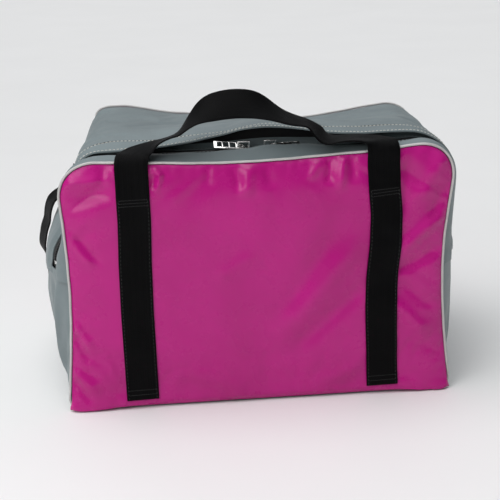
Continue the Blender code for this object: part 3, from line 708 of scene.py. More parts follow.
def piping(name, side, node_name):
    st = outline(0.0035)
    roll = BOTTOM_ROLL * np.maximum(0.0, -st[:, 3])
    c = np.stack([st[:, 0] - st[:, 2] * roll, 0 * st[:, 0] + side * HALF_D, st[:, 1] - st[:, 3] * roll], 1)
    wave = 0.0004 * np.sin(np.arange(len(c)) * 0.55) + 0.0003 * np.sin(np.arange(len(c)) * 0.21 + 1)
    under = smooth((-0.35 - st[:, 3]) / 0.6)
    c[:, 1] += side * (wave - 0.0040 * under)
    c[:, 2] += 0.0016 * under
    c = sag(c)
    c[:, 2] = np.maximum(c[:, 2], PIPE_R)
    n = np.stack([st[:, 2], 0 * st[:, 0], st[:, 3]], 1)
    b = np.tile([0.0, 1.0, 0.0], (len(c), 1))
    tube(name, c, n, b, PIPE_R - 0.0005, "piping", body="bag", slot="white_piping", replaces=(node_name,))


piping("front_piping_cord", -1, "front_piping")
piping("back_piping_cord", 1, "back_piping")

# ---------------------------------------------------------------- gusset
STRIP_EDGE_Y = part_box("top_front_strip")[1].y
LID_EDGE_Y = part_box("top_rear_panel")[0].y
ROOT_RISE_AT = (-0.240, -0.200, -0.185, -0.168, -0.135, -0.113, -0.094, -0.070, -0.032, -0.012, 0.009, 0.035, 0.065,
                0.091, 0.118, 0.153, 0.175, 0.195, 0.240)
ROOT_RISE = (0.0018, 0.0034, 0.0064, 0.0086, 0.0074, 0.0074, 0.0100, 0.0112, 0.0140, 0.0185, 0.0215, 0.0210, 0.0172,
             0.0150, 0.0142, 0.0132, 0.0105, 0.0060, 0.0018)
EDGE_RISE_AT = (-0.240, -0.200, -0.180, -0.165, -0.148, -0.125, -0.100, -0.067, -0.040, -0.015, 0.012, 0.039,
                0.066, 0.097, 0.127, 0.150, 0.170, 0.189, 0.205, 0.240)
EDGE_RISE = (0.0018, 0.0018, 0.0018, 0.0020, 0.0024, 0.0036, 0.0060, 0.0100, 0.0140, 0.0205, 0.0224, 0.0205,
             0.0166, 0.0125, 0.0112, 0.0105, 0.0085, 0.0062, 0.0035, 0.0020)


def soft_interp(x, at, values):
    """Smooth curve through listed heights."""
    fine = np.linspace(at[0], at[-1], 481)
    v = np.interp(fine, at, values)
    kernel = np.hanning(31)
    v = np.convolve(np.pad(v, 15, mode="edge"), kernel / kernel.sum(), "valid")
    return np.interp(x, fine, v)


def lid_surface(st, y):
    """The lid's outer face over stations and rows y."""
    x, nz = st[:, 0, None], st[:, 3, None]
    rise = soft_interp(x, ROOT_RISE_AT, ROOT_RISE) * smooth(nz * 1.6)
    rise = rise + 0.0016 * (1 - smooth(nz * 1.6))
    ahead = smooth((y - LID_EDGE_Y - 0.001) / (HINGE_Y - 0.001 - LID_EDGE_Y))
    fall = 1 - smooth((y + 0.070) / 0.125)
    dome = 0.0040 * np.maximum(0, nz) * np.cos(np.pi * x / (2 * HALF_W)) * np.sin(
        np.pi * np.clip((y + 0.09) / (SEAM_Y + 0.09), 0, 1))
    return rise * fall * ahead - 0.0012 * (1 - ahead) + dome


def side_lap(st, off):
    """The lower hem of the upper pieces lies over the end panels."""
    low = smooth((SIDE_SEAM_Z + 0.010 - st[:, 1, None]) / 0.008) * (np.abs(st[:, 2, None]) > 0.99)
    return off + 0.0016 * low


LAP = 0.008
lid_y = np.concatenate([[LID_EDGE_Y, -0.0985, -0.096, -0.0935, -0.091, -0.0885, -0.0865, -0.0845],
                        np.linspace(-0.082, SEAM_Y - 0.004, 46), [SEAM_Y - 0.002, SEAM_Y]])
lid_st = top_path(SIDE_SEAM_Z - LAP, 0.0045)
lid_base = sag(on_gusset(lid_st, lid_y, side_lap(lid_st, lid_surface(lid_st, lid_y[None, :]))))
pins = np.zeros(lid_base.shape[:2], bool)
pins[:, :10], pins[:, -2:], pins[:3], pins[-3:] = True, True, True, True
lid_grid = wrinkled(lid_base, pins, 0.008, 0.6, bend=1.2, cap=0.005)
lid_grid = refine(lid_grid)
lid = skin("lid_cover", lid_grid, "grey", body="bag", slot="grey_tarpaulin", replaces=("top_rear_panel",))

strip_y = np.array([-SEAM_Y, -0.1463, -0.1445, -0.142, -0.139, -0.136, -0.133, -0.130, -0.127, -0.1245, -0.1225,
                    -0.1208, STRIP_EDGE_Y])
strip_off = np.array([0.0, 0.0009, 0.0016, 0.0021, 0.0025, 0.0027, 0.0027, 0.0023, 0.0014, 0.0004, -0.0004,
                      -0.0010, -0.0012])
strip_st = top_path(SIDE_SEAM_Z - LAP, 0.0045)
sx = strip_st[:, 0, None]
ripple = 0.0006 * np.sin(sx * 61 + 1.1) * hill(strip_y, -0.134, 0.008) + 0.0005 * np.sin(sx * 137) * hill(
    strip_y, -0.129, 0.006)
crest = 0.0062 * hill(sx, 0.032, 0.062) * np.exp(-(((strip_y + 0.1315) / 0.0085) ** 2)) * smooth(
    strip_st[:, 3, None] * 1.6)
strip_p = sag(on_gusset(strip_st, strip_y, side_lap(strip_st, strip_off[None, :] + ripple + crest)))
skin("front_strip_cover", refine(strip_p), "grey", body="bag", slot="grey_tarpaulin", replaces=("top_front_strip",))

end_y = np.concatenate([[-SEAM_Y, -SEAM_Y + 0.002], np.linspace(-SEAM_Y + 0.006, SEAM_Y - 0.006, 58),
                        [SEAM_Y - 0.002, SEAM_Y]])
END_FOLDS = ((-0.125, 0.150, -0.100, 0.030, 0.0075, 0.0045), (-0.104, 0.150, -0.070, 0.050, 0.0085, -0.0040),
             (-0.060, 0.140, -0.030, 0.030, 0.0120, 0.0036), (0.020, 0.150, 0.060, 0.040, 0.0120, -0.0030),
             (0.060, 0.130, 0.110, 0.040, 0.0090, 0.0036), (-0.135, 0.080, -0.110, 0.020, 0.0060, -0.0030))
for name, side in (("left", -1), ("right", 1)):
    st = end_path(side, BOTTOM_R - 0.0002, SIDE_SEAM_Z)
    yy, zz = np.broadcast_to(end_y, (len(st), len(end_y))), st[:, 1, None] + 0 * end_y
    off = sum(ridge(yy if side < 0 else -yy * 0.94, zz, *f) for f in END_FOLDS)
    edge = smooth((SEAM_Y - np.abs(yy)) / 0.012)
    edge = edge * smooth((SIDE_SEAM_Z - 0.006 - zz) / 0.02) * smooth((zz - 0.02) / 0.02)
    off = off * edge + 0.0009 * np.sin(zz * 190 + 1) * np.exp(-(SEAM_Y - np.abs(yy)) / 0.010) * edge
    base = sag(on_gusset(st, end_y, off))
    held = np.zeros(base.shape[:2], bool)
    held[:3], held[-3:], held[:, :2], held[:, -2:] = True, True, True, True
    grid = refine(wrinkled(base, held, 0.010, 1.0, bend=1.0, cap=0.005))
    skin(name + "_end_cover", grid, "grey", body="bag", slot="grey_tarpaulin", replaces=(name + "_side_panel",))

bottom_st = bottom_path(0.005)
bottom_y = np.concatenate([[-SEAM_Y, -0.1465, -0.145, -0.142, -0.138, -0.134, -0.131],
                           np.linspace(-0.125, 0.125, 30), [0.131, 0.134, 0.138, 0.142, 0.145, 0.1465, SEAM_Y]])
bx, bnz = bottom_st[:, 0, None], bottom_st[:, 3, None]
crease = -0.0006 * np.abs(np.sin(bx * 23 + bottom_y[None, :] * 31)) * smooth((np.abs(bnz) - 0.9) / 0.1)
bottom_p = sag(on_gusset(bottom_st, bottom_y, crease))
bottom_p[..., 2] = np.maximum(bottom_p[..., 2], 0.0)
skin("bottom_cover", bottom_p, "grey", body="bag", slot="grey_tarpaulin", replaces=("bottom_panel",))

# ---------------------------------------------------------------- storm flap
FLAP_HALF = FLAP_HIGH.x
FLAP_TOP = 0.0014


def flap_edge_y(x):
    open_part = smooth((0.085 - np.abs(x - 0.005)) / 0.035)
    return -0.1120 + 0.0075 * open_part


def flap_points(st, rows):
    """The flap's outer face: rows run 0 at its sewn edge to 1 at its free edge."""
    x, nz = st[:, 0, None], st[:, 3, None]
    flat = smooth(nz * 1.6)
    y = HINGE_Y + 0.0012 + (flap_edge_y(x) - HINGE_Y - 0.0012) * rows
    root = soft_interp(x, ROOT_RISE_AT, ROOT_RISE) * flat + 0.0016 * (1 - flat)
    tip = soft_interp(x, EDGE_RISE_AT, EDGE_RISE) * flat + 0.0016 * (1 - flat)
    off = root + (tip - root) * smooth(rows * 0.9 + 0.05) + FLAP_TOP
    off = off + 0.0008 * np.sin(x * 75) * np.sin(np.pi * rows) * flat - 0.0006 * hill(rows, 0.93, 0.10)
    off = off - 0.0010 * hill(rows, 0.0, 0.10)
    x0, z0, nx, nz0 = (st[:, k, None] for k in range(4))
    out = off + end_bulge(y, z0, nx)
    return sag(np.stack([x0 + nx * out, y, z0 + nz0 * out], 2))


whole = top_path(FLAP_END_Z, 0.004)
near_middle = np.argmin(np.abs(whole[:, 0]) + (whole[:, 1] < HEIGHT - 0.001) * 9)
whole[near_middle, 0] = 0.0
flap_rows = np.linspace(0, 1, 15)[None, :]
halves = {"left": whole[: near_middle + 1], "right": whole[near_middle:]}
for name, st in halves.items():
    p = flap_points(st, flap_rows)
    side = -1 if name == "left" else 1
    made = skin("flap_" + name, refine(p), "grey", thickness=FLAP_T, slot="grey_tarpaulin",
                replaces=("storm_flap", "flap_end_" + name))
    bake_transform(made)
    turned = outwards(p)
    n = normals(turned)
    for row, label in ((2, "upper"), (12, "lower")):
        col = row if turned is p else p.shape[1] - 1 - row
        line, up = turned[:, col], n[:, col]
        thread = stitches(f"flap_stitch_{label}_{name}", line + up * 0.0001, up, "white_thread", radius=0.0005,
                          slot="grey_tarpaulin")
        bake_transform(thread)

# ---------------------------------------------------------------- the zip
TEETH_OFF = TEETH_TOP - HEIGHT
tape_st = top_path(SIDE_SEAM_Z + 0.0006, 0.004)
for name, side in (("front", -1), ("rear", 1)):
    low, high = (b.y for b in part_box("zip_tape_" + name))
    ys = np.linspace(low, high, 7)
    off = np.full((len(tape_st), 7), TEETH_OFF - 0.0012)
    skin("zip_tape_cloth_" + name, sag(on_gusset(tape_st, ys, off)), "tape", thickness=0.0007, body="bag",
         slot="black_zip_tape", replaces=("zip_tape_" + name,))
# Painted shade: a black band on the lid just under the flap's root, standing in for the deep shadow beneath the raised
# flap.
shade_band_st = top_path(FLAP_END_Z + 0.010, 0.004)
shade_band_y = np.linspace(-0.0940, -0.0835, 12)
shade_band_off = lid_surface(shade_band_st, shade_band_y[None, :]) + 0.0005
skin("flap_root_painted_shade", sag(on_gusset(shade_band_st, shade_band_y, shade_band_off)), "tape", thickness=0.0007, body="bag",
     slot="black_zip_tape")
zip_st = top_path(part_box("zip_teeth_front")[0].z, 0.002)
spine = sag(on_gusset(zip_st, np.array([ZIP_Y]), np.full((len(zip_st), 1), TEETH_OFF)))[:, 0]
arc_length = np.concatenate([[0], np.cumsum(np.linalg.norm(np.diff(spine, axis=0), axis=1))])
TOOTH_PITCH = 0.0021
box_shape = np.array([(a, b, c) for a in (-1, -0.6, 0.6, 1) for b in (-1, 1) for c in (-1, 1)], float)
tooth_faces = []
for k in range(3):
    a, b = 4 * k, 4 * k + 4
    tooth_faces += [(a, a + 1, b + 1, b), (a + 2, b + 2, b + 3, a + 3)]
    tooth_faces += [(a, b, b + 2, a + 2), (a + 1, a + 3, b + 3, b + 1)]
tooth_faces += [(0, 2, 3, 1), (12, 13, 15, 14)]
for name, side in (("front", -1), ("rear", 1)):
    verts, faces = [], []
    at = TOOTH_PITCH * (0.25 if side < 0 else 0.75)
    while at < arc_length[-1]:
        c, nrm = (np.array([np.interp(at, arc_length, src[:, k]) for k in range(3)]) for src in (
            spine, np.stack([zip_st[:, 2], 0 * zip_st[:, 0], zip_st[:, 3]], 1)))
        along = np.array([nrm[2], 0.0, -nrm[0]])
        across = np.array([0.0, 1.0, 0.0])
        shape = box_shape.copy()
        taper = 1 - 0.35 * (np.abs(shape[:, 0:1]) > 0.9)
        local = (shape[:, 0:1] * across * 0.0013 + shape[:, 1:2] * taper * along * 0.00072
                 + shape[:, 2:3] * taper * nrm * 0.0012)
        base = len(verts)
        verts += list(c + across * side * 0.0012 - nrm * 0.0012 + local)
        faces += [tuple(base + i for i in f) for f in tooth_faces]
        at += TOOTH_PITCH
    publish("zip_coil_" + name, np.array(verts), faces, "teeth", sharp=35, body="bag", slot="black_zip_teeth",
            replaces=("zip_teeth_" + name,))


def machined(name, node_name, mat, bevel, shape=None, **kw):
    """A metal part with rounded edges, on the CAD part's own form."""
    shell = bmesh.new()
    shell.from_mesh(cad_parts[node_name].data)
    bmesh.ops.remove_doubles(shell, verts=shell.verts, dist=1e-6)
    bmesh.ops.dissolve_limit(shell, angle_limit=0.03, verts=shell.verts, edges=shell.edges)
    sharp = [e for e in shell.edges if len(e.link_faces) == 2 and e.calc_face_angle(0) > 0.5]
    bmesh.ops.bevel(shell, geom=sharp, offset=bevel, segments=3, profile=0.55, affect="EDGES", clamp_overlap=True)
    bmesh.ops.triangulate(shell, faces=[f for f in shell.faces if len(f.verts) > 4])
    verts = np.array([v.co for v in shell.verts], float)
    faces = [tuple(v.index for v in f.verts) for f in shell.faces]
    shell.free()
    if shape is not None:
        verts = shape(verts)
    return publish(name, verts, faces, mat, sharp=40, replaces=(node_name,), **kw)


def slider_form(name, direction):
    low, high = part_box("slider_" + name)
    middle = (low + high) / 2

    def form(v):
        t = (v[:, 0] - middle.x) * direction / (high.x - low.x) + 0.5
        v[:, 1] = ZIP_Y + (v[:, 1] - ZIP_Y) * (0.74 + 0.26 * smooth(1.15 - t) - 0.10 * smooth((0.12 - t) / 0.12))
        arch = smooth((v[:, 2] - low.z - 0.0035) / 0.002)
        v[:, 2] -= 0.0011 * arch * np.clip(np.abs(v[:, 0] - middle.x) / 0.0066, 0, 1) ** 2
        v[:, 0] = middle.x + (v[:, 0] - middle.x) * 1.12
        v[:, 2] += 0.55 * np.maximum(v[:, 2] - low.z - 0.003, 0)
        return v

    return form


def pull_form(name, direction):
    """The tab lies tipped towards the front, as a loose pull does."""
    low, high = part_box("pull_" + name)
    pin = Vector((high.x if direction < 0 else low.x, ZIP_Y, (low.z + high.z) / 2))

    def form(v):
        reach = (v[:, 0] - pin.x) * direction
        wide = 1 + (0.25 if direction < 0 else 0.0) * smooth(reach / 0.012)
        tip = math.radians(36 if direction < 0 else 10) * smooth((reach + 0.001) / 0.009)
        y, z = (v[:, 1] - pin.y) * wide, v[:, 2] - pin.z
        v[:, 1] = pin.y + y * np.cos(tip) - z * np.sin(tip)
        raised = (0.003 if direction < 0 else 0.0008) * smooth(reach / 0.03)
        v[:, 2] = pin.z + y * np.sin(tip) + z * np.cos(tip) + raised
        return v

    return form


for name, direction in (("left", -1), ("right", 1)):
    machined("slider_body_" + name, "slider_" + name, "chrome", 0.00035, slider_form(name, direction),
             body=name + "_slider", slot="chrome")
    machined("pull_tab_" + name, "pull_" + name, "chrome", 0.00042, pull_form(name, direction),
             body=name + "_pull", slot="chrome")
    machined("zip_stop_" + name, "zip_end_stop_" + name, "chrome", 0.0004, sag, body="bag", slot="chrome")

# ---------------------------------------------------------------- webbing
def surface_tree(piece):
    """The piece's faces, ready for finding what a ray hits."""
    mesh = piece.data
    return BVHTree.FromPolygons([v.co.copy() for v in mesh.vertices], [tuple(f.vertices) for f in mesh.polygons])


front_tree, back_tree = surface_tree(front_panel), surface_tree(back_panel)


def panel_y(tree, side, x, z):
    hit = tree.ray_cast(Vector((x, side * 0.4, z)), Vector((0, -side, 0)))[0]
    return hit.y if hit is not None else side * HALF_D


def smooth_line(values, times):
    for _ in range(times):
        padded = np.concatenate([values[:1], values, values[-1:]])
        values = (padded[:-2] + 2 * padded[1:-1] + padded[2:]) / 4
    return values


def sewn_path(tree, side, x, bow, low=None, high=None):
    """Centres and width directions of webbing lying on a big panel, from its foot up."""
    zs = np.linspace(low or STRAP_FOOT, high or STITCH_Z - 0.004, 80)
    across = np.linspace(-0.95, 0.95, 9) * WEB_W / 2
    xc = x + soft_interp(zs, *bow)
    surface = np.array([[panel_y(tree, side, c + a, z) * side for a in across] for c, z in zip(xc, zs)])
    tops = np.array([surface[max(0, i - 2): i + 3].max(axis=0) for i in range(len(zs))])
    slope = smooth_line(((tops * across).sum(axis=1) / (across**2).sum())[:, None], 12)[:, 0]
    lift = (tops - slope[:, None] * across).max(axis=1)
    lift = smooth_line(np.maximum(lift, smooth_line(lift[:, None], 6)[:, 0])[:, None], 4)[:, 0]
    centres = np.stack([xc, side * (lift + 0.0003 + WEB_T / 2), zs], 1)
    width = np.stack([np.ones(len(zs)), side * slope, np.zeros(len(zs))], 1)
    return centres, width


def catmull(points, step=0.003):
    """Centres and width directions on a smooth curve through given points."""
    c = np.array([p[0] for p in points], float)
    w = np.array([p[1] for p in points], float)
    w /= np.linalg.norm(w, axis=1, keepdims=True)
    both = np.concatenate([c, w], 1)
    padded = np.concatenate([2 * both[:1] - both[1:2], both, 2 * both[-1:] - both[-2:-1]])
    t = np.linspace(0, 1, 12, endpoint=False)[:, None]
    parts = []
    for a, b, c2, d in zip(padded[:-3], padded[1:-2], padded[2:-1], padded[3:]):
        parts.append((2 * b + (c2 - a) * t + (2 * a - 5 * b + 4 * c2 - d) * t**2 + (3 * b - a - 3 * c2 + d) * t**3) / 2)
    line = np.concatenate(parts + [both[-1:]])
    s = np.concatenate([[0], np.cumsum(np.linalg.norm(np.diff(line[:, :3], axis=0), axis=1))])
    at = np.linspace(0, s[-1], max(4, int(s[-1] / step)))
    line = np.stack([np.interp(at, s, line[:, k]) for k in range(6)], 1)
    return line[:, :3], line[:, 3:]


def ribbon(name, centres, width, mat="webbing", cup=0.0, thickness=WEB_T, band=WEB_W, **kw):
    """Flat webbing with rounded edges along centres. width is the direction across it."""
    along = np.gradient(centres, axis=0)
    along /= np.linalg.norm(along, axis=1, keepdims=True)
    across = width - along * (width * along).sum(1, keepdims=True)
    across /= np.linalg.norm(across, axis=1, keepdims=True)
    face = np.cross(along, across)
    a = np.concatenate([[-1, -0.985, -0.93], np.linspace(-0.8, 0.8, 9), [0.93, 0.985, 1]])
    thick = np.sqrt(np.maximum(0, 1 - np.abs(a) ** 24)) * (0.86 + 0.14 * hill(np.abs(a), 0.93, 0.06))
    aa = np.concatenate([a, a[-2:0:-1]])
    hh = np.concatenate([thick, -thick[-2:0:-1]]) * thickness / 2
    cup = np.broadcast_to(cup, (len(centres),))[:, None]
    ring = (centres[:, None] + across[:, None] * (aa * band / 2)[None, :, None]
            + face[:, None] * (hh[None, :] + cup * (aa**2)[None, :])[..., None])
    n, m = len(centres), len(aa)
    i, j = np.arange(n - 1)[:, None], np.arange(m)[None, :]
    f = np.stack([i * m + j, (i + 1) * m + j, (i + 1) * m + (j + 1) % m, i * m + (j + 1) % m], 2).reshape(-1, 4)
    half = len(a)
    caps = []
    for start in (0, (n - 1) * m):
        for k in range(half - 1):
            p, q = start + k, start + k + 1
            r, s2 = start + (m - k - 1) % m, start + (m - k) % m
            ids = []
            for v in (p, q, r, s2):
                if v not in ids:
                    ids.append(v)
            if len(ids) > 2:
                caps.append(tuple(ids))
    s = np.concatenate([[0], np.cumsum(np.linalg.norm(np.diff(centres, axis=0), axis=1))])
    uv = np.stack(np.broadcast_arrays((aa * band / 2)[None, :], s[:, None]), 2)
    made = publish(name, ring, [*f.tolist(), *caps], mat, uv=uv, slot="black_webbing", **kw)
    return made, across, face, s


def edge_rows(name, centres, across, face, outward, spans, inset=0.0165, **kw):
    """Rows of stitches along both edges of webbing, and cross rows at spans."""
    flip = np.where((face * outward).sum(1, keepdims=True) < 0, -1.0, 1.0)
    up = face * flip
    for k, sign in enumerate((-1, 1)):
        line = centres + across * inset * sign + up * (WEB_T / 2 - 0.0001)
        stitches(f"{name}_edge_{k}", line, up, "black_thread", slot="black_webbing", **kw)
    for r, (index, rise) in enumerate(spans):
        a = np.linspace(-inset, inset, 40)
        zig = 0.0016 * np.abs(((a / 0.0042) % 1) * 2 - 1)
        i = index + (rise + zig) / max(1e-6, np.linalg.norm(centres[1] - centres[0]))
        base = np.stack([np.interp(i, np.arange(len(centres)), centres[:, k]) for k in range(3)], 1)
        wide = np.stack([np.interp(i, np.arange(len(centres)), across[:, k]) for k in range(3)], 1)
        line = base + wide * a[:, None] + up[index] * (WEB_T / 2 - 0.0001)
        stitches(f"{name}_row_{r}", line, np.tile(up[index], (len(a), 1)), "black_thread",
                 length=0.0021, gap=0.0005, slot="black_webbing", **kw)


FRONT_BOWS = {
    "left": ((0.0, 0.06, 0.12, 0.18, 0.23, 0.26), (0.0010, 0.0, -0.0010, -0.0008, 0.0006, 0.0)),
    "right": ((0.0, 0.06, 0.11, 0.15, 0.19, 0.225, 0.26), (0.0, -0.0012, -0.0030, -0.0018, 0.0018, 0.0030, 0.0)),
}
STRAIGHT = ((0.0, 0.30), (0.0, 0.0))
foot = HANDLE_FOOT
# The rows with plain numbers for x came from a scratch solver, and were rounded or lightly edited.
FRONT_HANDLE = (
    ((LEFT_X, -0.1545, foot + 0.012), (1, 0, 0)),
    ((LEFT_X, -0.1552, foot + 0.024), (1, 0, 0)),
    ((LEFT_X, -0.1560, 0.2975), (1, 0, 0)),
    ((LEFT_X + 0.002, -0.1510, 0.3065), (1, -0.05, 0)),
    ((LEFT_X + 0.008, -0.1415, 0.3092), (0.9, -0.45, 0)),
    ((LEFT_X + 0.020, -0.1360, 0.3118), (0.50, -0.87, 0.0)),
    ((LEFT_X + 0.032, -0.1350, 0.3165), (0.15, -0.97, 0.15)),
    ((-0.0920, -0.1355, 0.3235), (0.10, -0.97, 0.20)),
    ((-0.0843, -0.1370, 0.3305), (0.0, -1.0, 0.03)),
    ((-0.0725, -0.1370, 0.3415), (0.02, -0.96, -0.26)),
    ((-0.0635, -0.1370, 0.3478), (0.06, -0.87, -0.49)),
    ((-0.0540, -0.1370, 0.3523), (0.08, -0.74, -0.67)),
    ((-0.0430, -0.1370, 0.3552), (0.06, -0.66, -0.75)),
    ((-0.0250, -0.1370, 0.3570), (0.02, -0.61, -0.79)),
    ((-0.0060, -0.1370, 0.3556), (-0.12, -0.66, -0.74)),
    ((0.0070, -0.1370, 0.3514), (-0.26, -0.80, -0.54)),
    ((0.0175, -0.1370, 0.3466), (-0.26, -0.90, -0.34)),
    ((0.0285, -0.1370, 0.3411), (-0.28, -0.94, -0.18)),
    ((0.0395, -0.1370, 0.3368), (-0.26, -0.96, -0.14)),
    ((0.0510, -0.1370, 0.3338), (-0.21, -0.97, -0.08)),
    ((0.0590, -0.1370, 0.3310), (-0.20, -0.98, -0.01)),
    ((0.0690, -0.1370, 0.3220), (-0.37, -0.93, -0.07)),
    ((0.0765, -0.1370, 0.3162), (-0.46, -0.88, -0.09)),
    ((0.0890, -0.1355, 0.3128), (-0.42, -0.91, 0.0)),
    ((RIGHT_X - 0.026, -0.1340, 0.3118), (-0.50, -0.86, 0)),
    ((RIGHT_X - 0.009, -0.1405, 0.3105), (-0.85, -0.5, 0)),
    ((RIGHT_X - 0.002, -0.1510, 0.3085), (-1, -0.05, 0)),
    ((RIGHT_X, -0.1560, 0.3000), (-1, 0, 0)),
    ((RIGHT_X, -0.1552, foot + 0.024), (-1, 0, 0)),
    ((RIGHT_X, -0.1545, foot + 0.012), (-1, 0, 0)),
)
left_c, left_w = sewn_path(front_tree, -1, LEFT_X, FRONT_BOWS["left"])
right_c, right_w = sewn_path(front_tree, -1, RIGHT_X, FRONT_BOWS["right"])
arch_c, arch_w = catmull(((left_c[-1], left_w[-1]), *FRONT_HANDLE, (right_c[-1], -right_w[-1])))
for point in arch_c:
    if 0.250 < point[2] < 0.298 and point[1] < -0.15:
        near = min(panel_y(front_tree, -1, point[0] + a, point[2]) for a in (-0.018, -0.009, 0.0, 0.009, 0.018))
        point[1] = min(point[1], near - 0.0006 - WEB_T / 2)
low_part = smooth((0.322 - arch_c[:, 2:3]) / 0.015) * smooth((arch_c[:, 2:3] - 0.27) / 0.02)
arch_c = arch_c + (sag(arch_c) - arch_c) * low_part
centres = np.concatenate([left_c[:-1], arch_c, right_c[::-1][1:]])
width = np.concatenate([left_w[:-1], arch_w, -right_w[::-1][1:]])
s = np.concatenate([[0], np.cumsum(np.linalg.norm(np.diff(centres, axis=0), axis=1))])
at = np.linspace(0, s[-1], int(s[-1] / 0.0028))
centres, width = (np.stack([np.interp(at, s, v[:, k]) for k in range(3)], 1) for v in (centres, width))
inside = smooth((centres[:, 2] - 0.275) / 0.02)[:, None]
centres = centres + (smooth_line(centres, 3) - centres) * inside
width = smooth_line(width, 4)
front_webbing, across, face, s = ribbon(
    "front_webbing", centres, width, cup=0.0006 * smooth((centres[:, 2] - 0.31) / 0.03),
    replaces=("front_handle", "front_strap_left", "front_strap_right"))
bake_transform(front_webbing)
sewn = centres[:, 2] < STITCH_Z - 0.003
for name, mask in (("left", sewn & (centres[:, 0] < 0)), ("right", sewn & (centres[:, 0] > 0))):
    c, a, f = centres[mask], across[mask], face[mask]
    if name == "right":
        c, a, f = c[::-1], a[::-1], f[::-1]
    last = len(c) - 1
    edge_rows("front_strap_stitch_" + name, c, a, f, np.array([0, -1.0, 0]),
              ((last, -0.002), (last, -0.0055), (last, -0.009), (2, 0.0), (4, 0.0)), body="bag")

for name, x in (("left", LEFT_X), ("right", RIGHT_X)):
    c, w = sewn_path(back_tree, 1, x, STRAIGHT, high=STITCH_Z)
    _, a, f, _ = ribbon("back_webbing_" + name, c, w, body="bag", replaces=("back_strap_" + name,))
    last = len(c) - 3
    edge_rows("back_strap_stitch_" + name, c[:last], a[:last], f[:last], np.array([0, 1.0, 0]),
              ((last - 1, -0.006), (last - 1, -0.010), (2, 0.0)), body="bag")
    if x < 0:
        back_face = c[-1][1] + WEB_T / 2
hang_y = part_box("back_strap_left")[1].y + 0.0036
top = STITCH_Z
BACK_HANDLE = (
    ((LEFT_X, back_face + 0.0014, top - 0.004), (1, 0, 0)),
    ((LEFT_X, back_face + 0.0016, top + 0.003), (1, 0, 0)),
    ((LEFT_X, back_face + 0.0038, top + 0.0058), (1, 0, 0)),
    ((LEFT_X, back_face + 0.0062, top + 0.002), (1, 0, 0)),
    ((LEFT_X, hang_y + 0.0044, top - 0.012), (1, 0, 0)),
    ((LEFT_X, hang_y + 0.006, top - 0.024), (1, 0, 0)),
    ((LEFT_X + 0.002, hang_y + 0.011, top - 0.044), (1, -0.1, 0)),
    ((LEFT_X + 0.012, hang_y + 0.019, top - 0.062), (0.7, -0.7, 0)),
    ((LEFT_X + 0.032, hang_y + 0.024, top - 0.076), (0, -1, 0.2)),
    ((LEFT_X + 0.064, hang_y + 0.018, top - 0.098), (-0.2, -0.7, 0.6)),
    ((-0.045, hang_y + 0.012, top - 0.115), (0, -0.2, 1)),
    ((0.0, hang_y + 0.010, top - 0.119), (0, 0, 1)),
    ((0.045, hang_y + 0.012, top - 0.115), (0, -0.2, 1)),
    ((RIGHT_X - 0.064, hang_y + 0.018, top - 0.098), (0.2, -0.7, 0.6)),
    ((RIGHT_X - 0.032, hang_y + 0.024, top - 0.076), (0, -1, 0.2)),
    ((RIGHT_X - 0.012, hang_y + 0.019, top - 0.062), (-0.7, -0.7, 0)),
    ((RIGHT_X - 0.002, hang_y + 0.011, top - 0.044), (-1, -0.1, 0)),
    ((RIGHT_X, hang_y + 0.006, top - 0.024), (-1, 0, 0)),
    ((RIGHT_X, hang_y + 0.0044, top - 0.012), (-1, 0, 0)),
    ((RIGHT_X, back_face + 0.0062, top + 0.002), (-1, 0, 0)),
    ((RIGHT_X, back_face + 0.0038, top + 0.0058), (-1, 0, 0)),
    ((RIGHT_X, back_face + 0.0016, top + 0.003), (-1, 0, 0)),
    ((RIGHT_X, back_face + 0.0014, top - 0.004), (-1, 0, 0)),
)
c, w = catmull(BACK_HANDLE, 0.0022)
back_loop, _, _, _ = ribbon("back_webbing_handle", smooth_line(c, 2), smooth_line(w, 4), replaces=("back_handle",))
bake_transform(back_loop)

# The grab handle on the left end.
lid_tree, end_tree = surface_tree(lid), surface_tree(bpy.data.objects["left_end_cover"])
GRAB_LOW, GRAB_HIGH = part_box("side_handle")[0].z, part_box("side_handle")[1].z
zs = np.linspace(GRAB_LOW, GRAB_HIGH, 62)


def end_x(y, z):
    hits = [t.ray_cast(Vector((-0.4, y, z)), Vector((1, 0, 0)))[0] for t in (lid_tree, end_tree)]
    return min(h.x for h in hits if h is not None)


skin_x = np.array([min(end_x(y, z) for y in (-0.020, -0.010, 0.0, 0.010, 0.020)) for z in zs])
skin_x = smooth_line(np.minimum(skin_x, smooth_line(skin_x[:, None], 4)[:, 0])[:, None], 2)[:, 0]
SEWN = 0.017
inside = np.clip((np.minimum(GRAB_HIGH - zs, zs - GRAB_LOW) - SEWN) / ((GRAB_HIGH - GRAB_LOW) / 2 - SEWN), 0, 1)
# The loop stands well off the bag, furthest out a little above its middle.
GRAB_PEAK = 0.195
loop_x = -0.2520 + np.where(zs > GRAB_PEAK, 0.0265, 0.0065) * ((zs - GRAB_PEAK) / 0.055) ** 2
loose = np.sin(np.pi / 2 * smooth(inside * 1.8))
flat_x = skin_x - 0.0004 - WEB_T / 2
c = np.stack([flat_x + np.minimum(loop_x - flat_x, 0) * loose, 0.0008 * np.sin(zs * 60), zs], 1)
c = smooth_line(c, 3)
# The loop is turned a little to the front, and its near edge still clears the end.
turned = 0.25 * loose
c[:, 0] = np.minimum(c[:, 0], skin_x - 0.0009 - WEB_T / 2 - 0.019 * turned)
c[:, 0] = smooth_line(c[:, :1], 2)[:, 0] - 0.0002
lean = np.stack([-turned, 1 + 0 * zs, 0 * zs], 1)
_, a, f, s = ribbon("grab_webbing", c, lean, body="bag", replaces=("side_handle",))
pitch = s[-1] / (len(c) - 1)
rows = int(SEWN / pitch) - 1
for name, part in (("low", slice(1, rows)), ("high", slice(len(c) - rows, len(c) - 1))):
    edge_rows("grab_stitch_" + name, c[part], a[part], f[part], np.array([-1.0, 0, 0]),
              ((0, 0.0005), (rows // 2, 0.0), (rows - 3, 0.0)), body="bag")


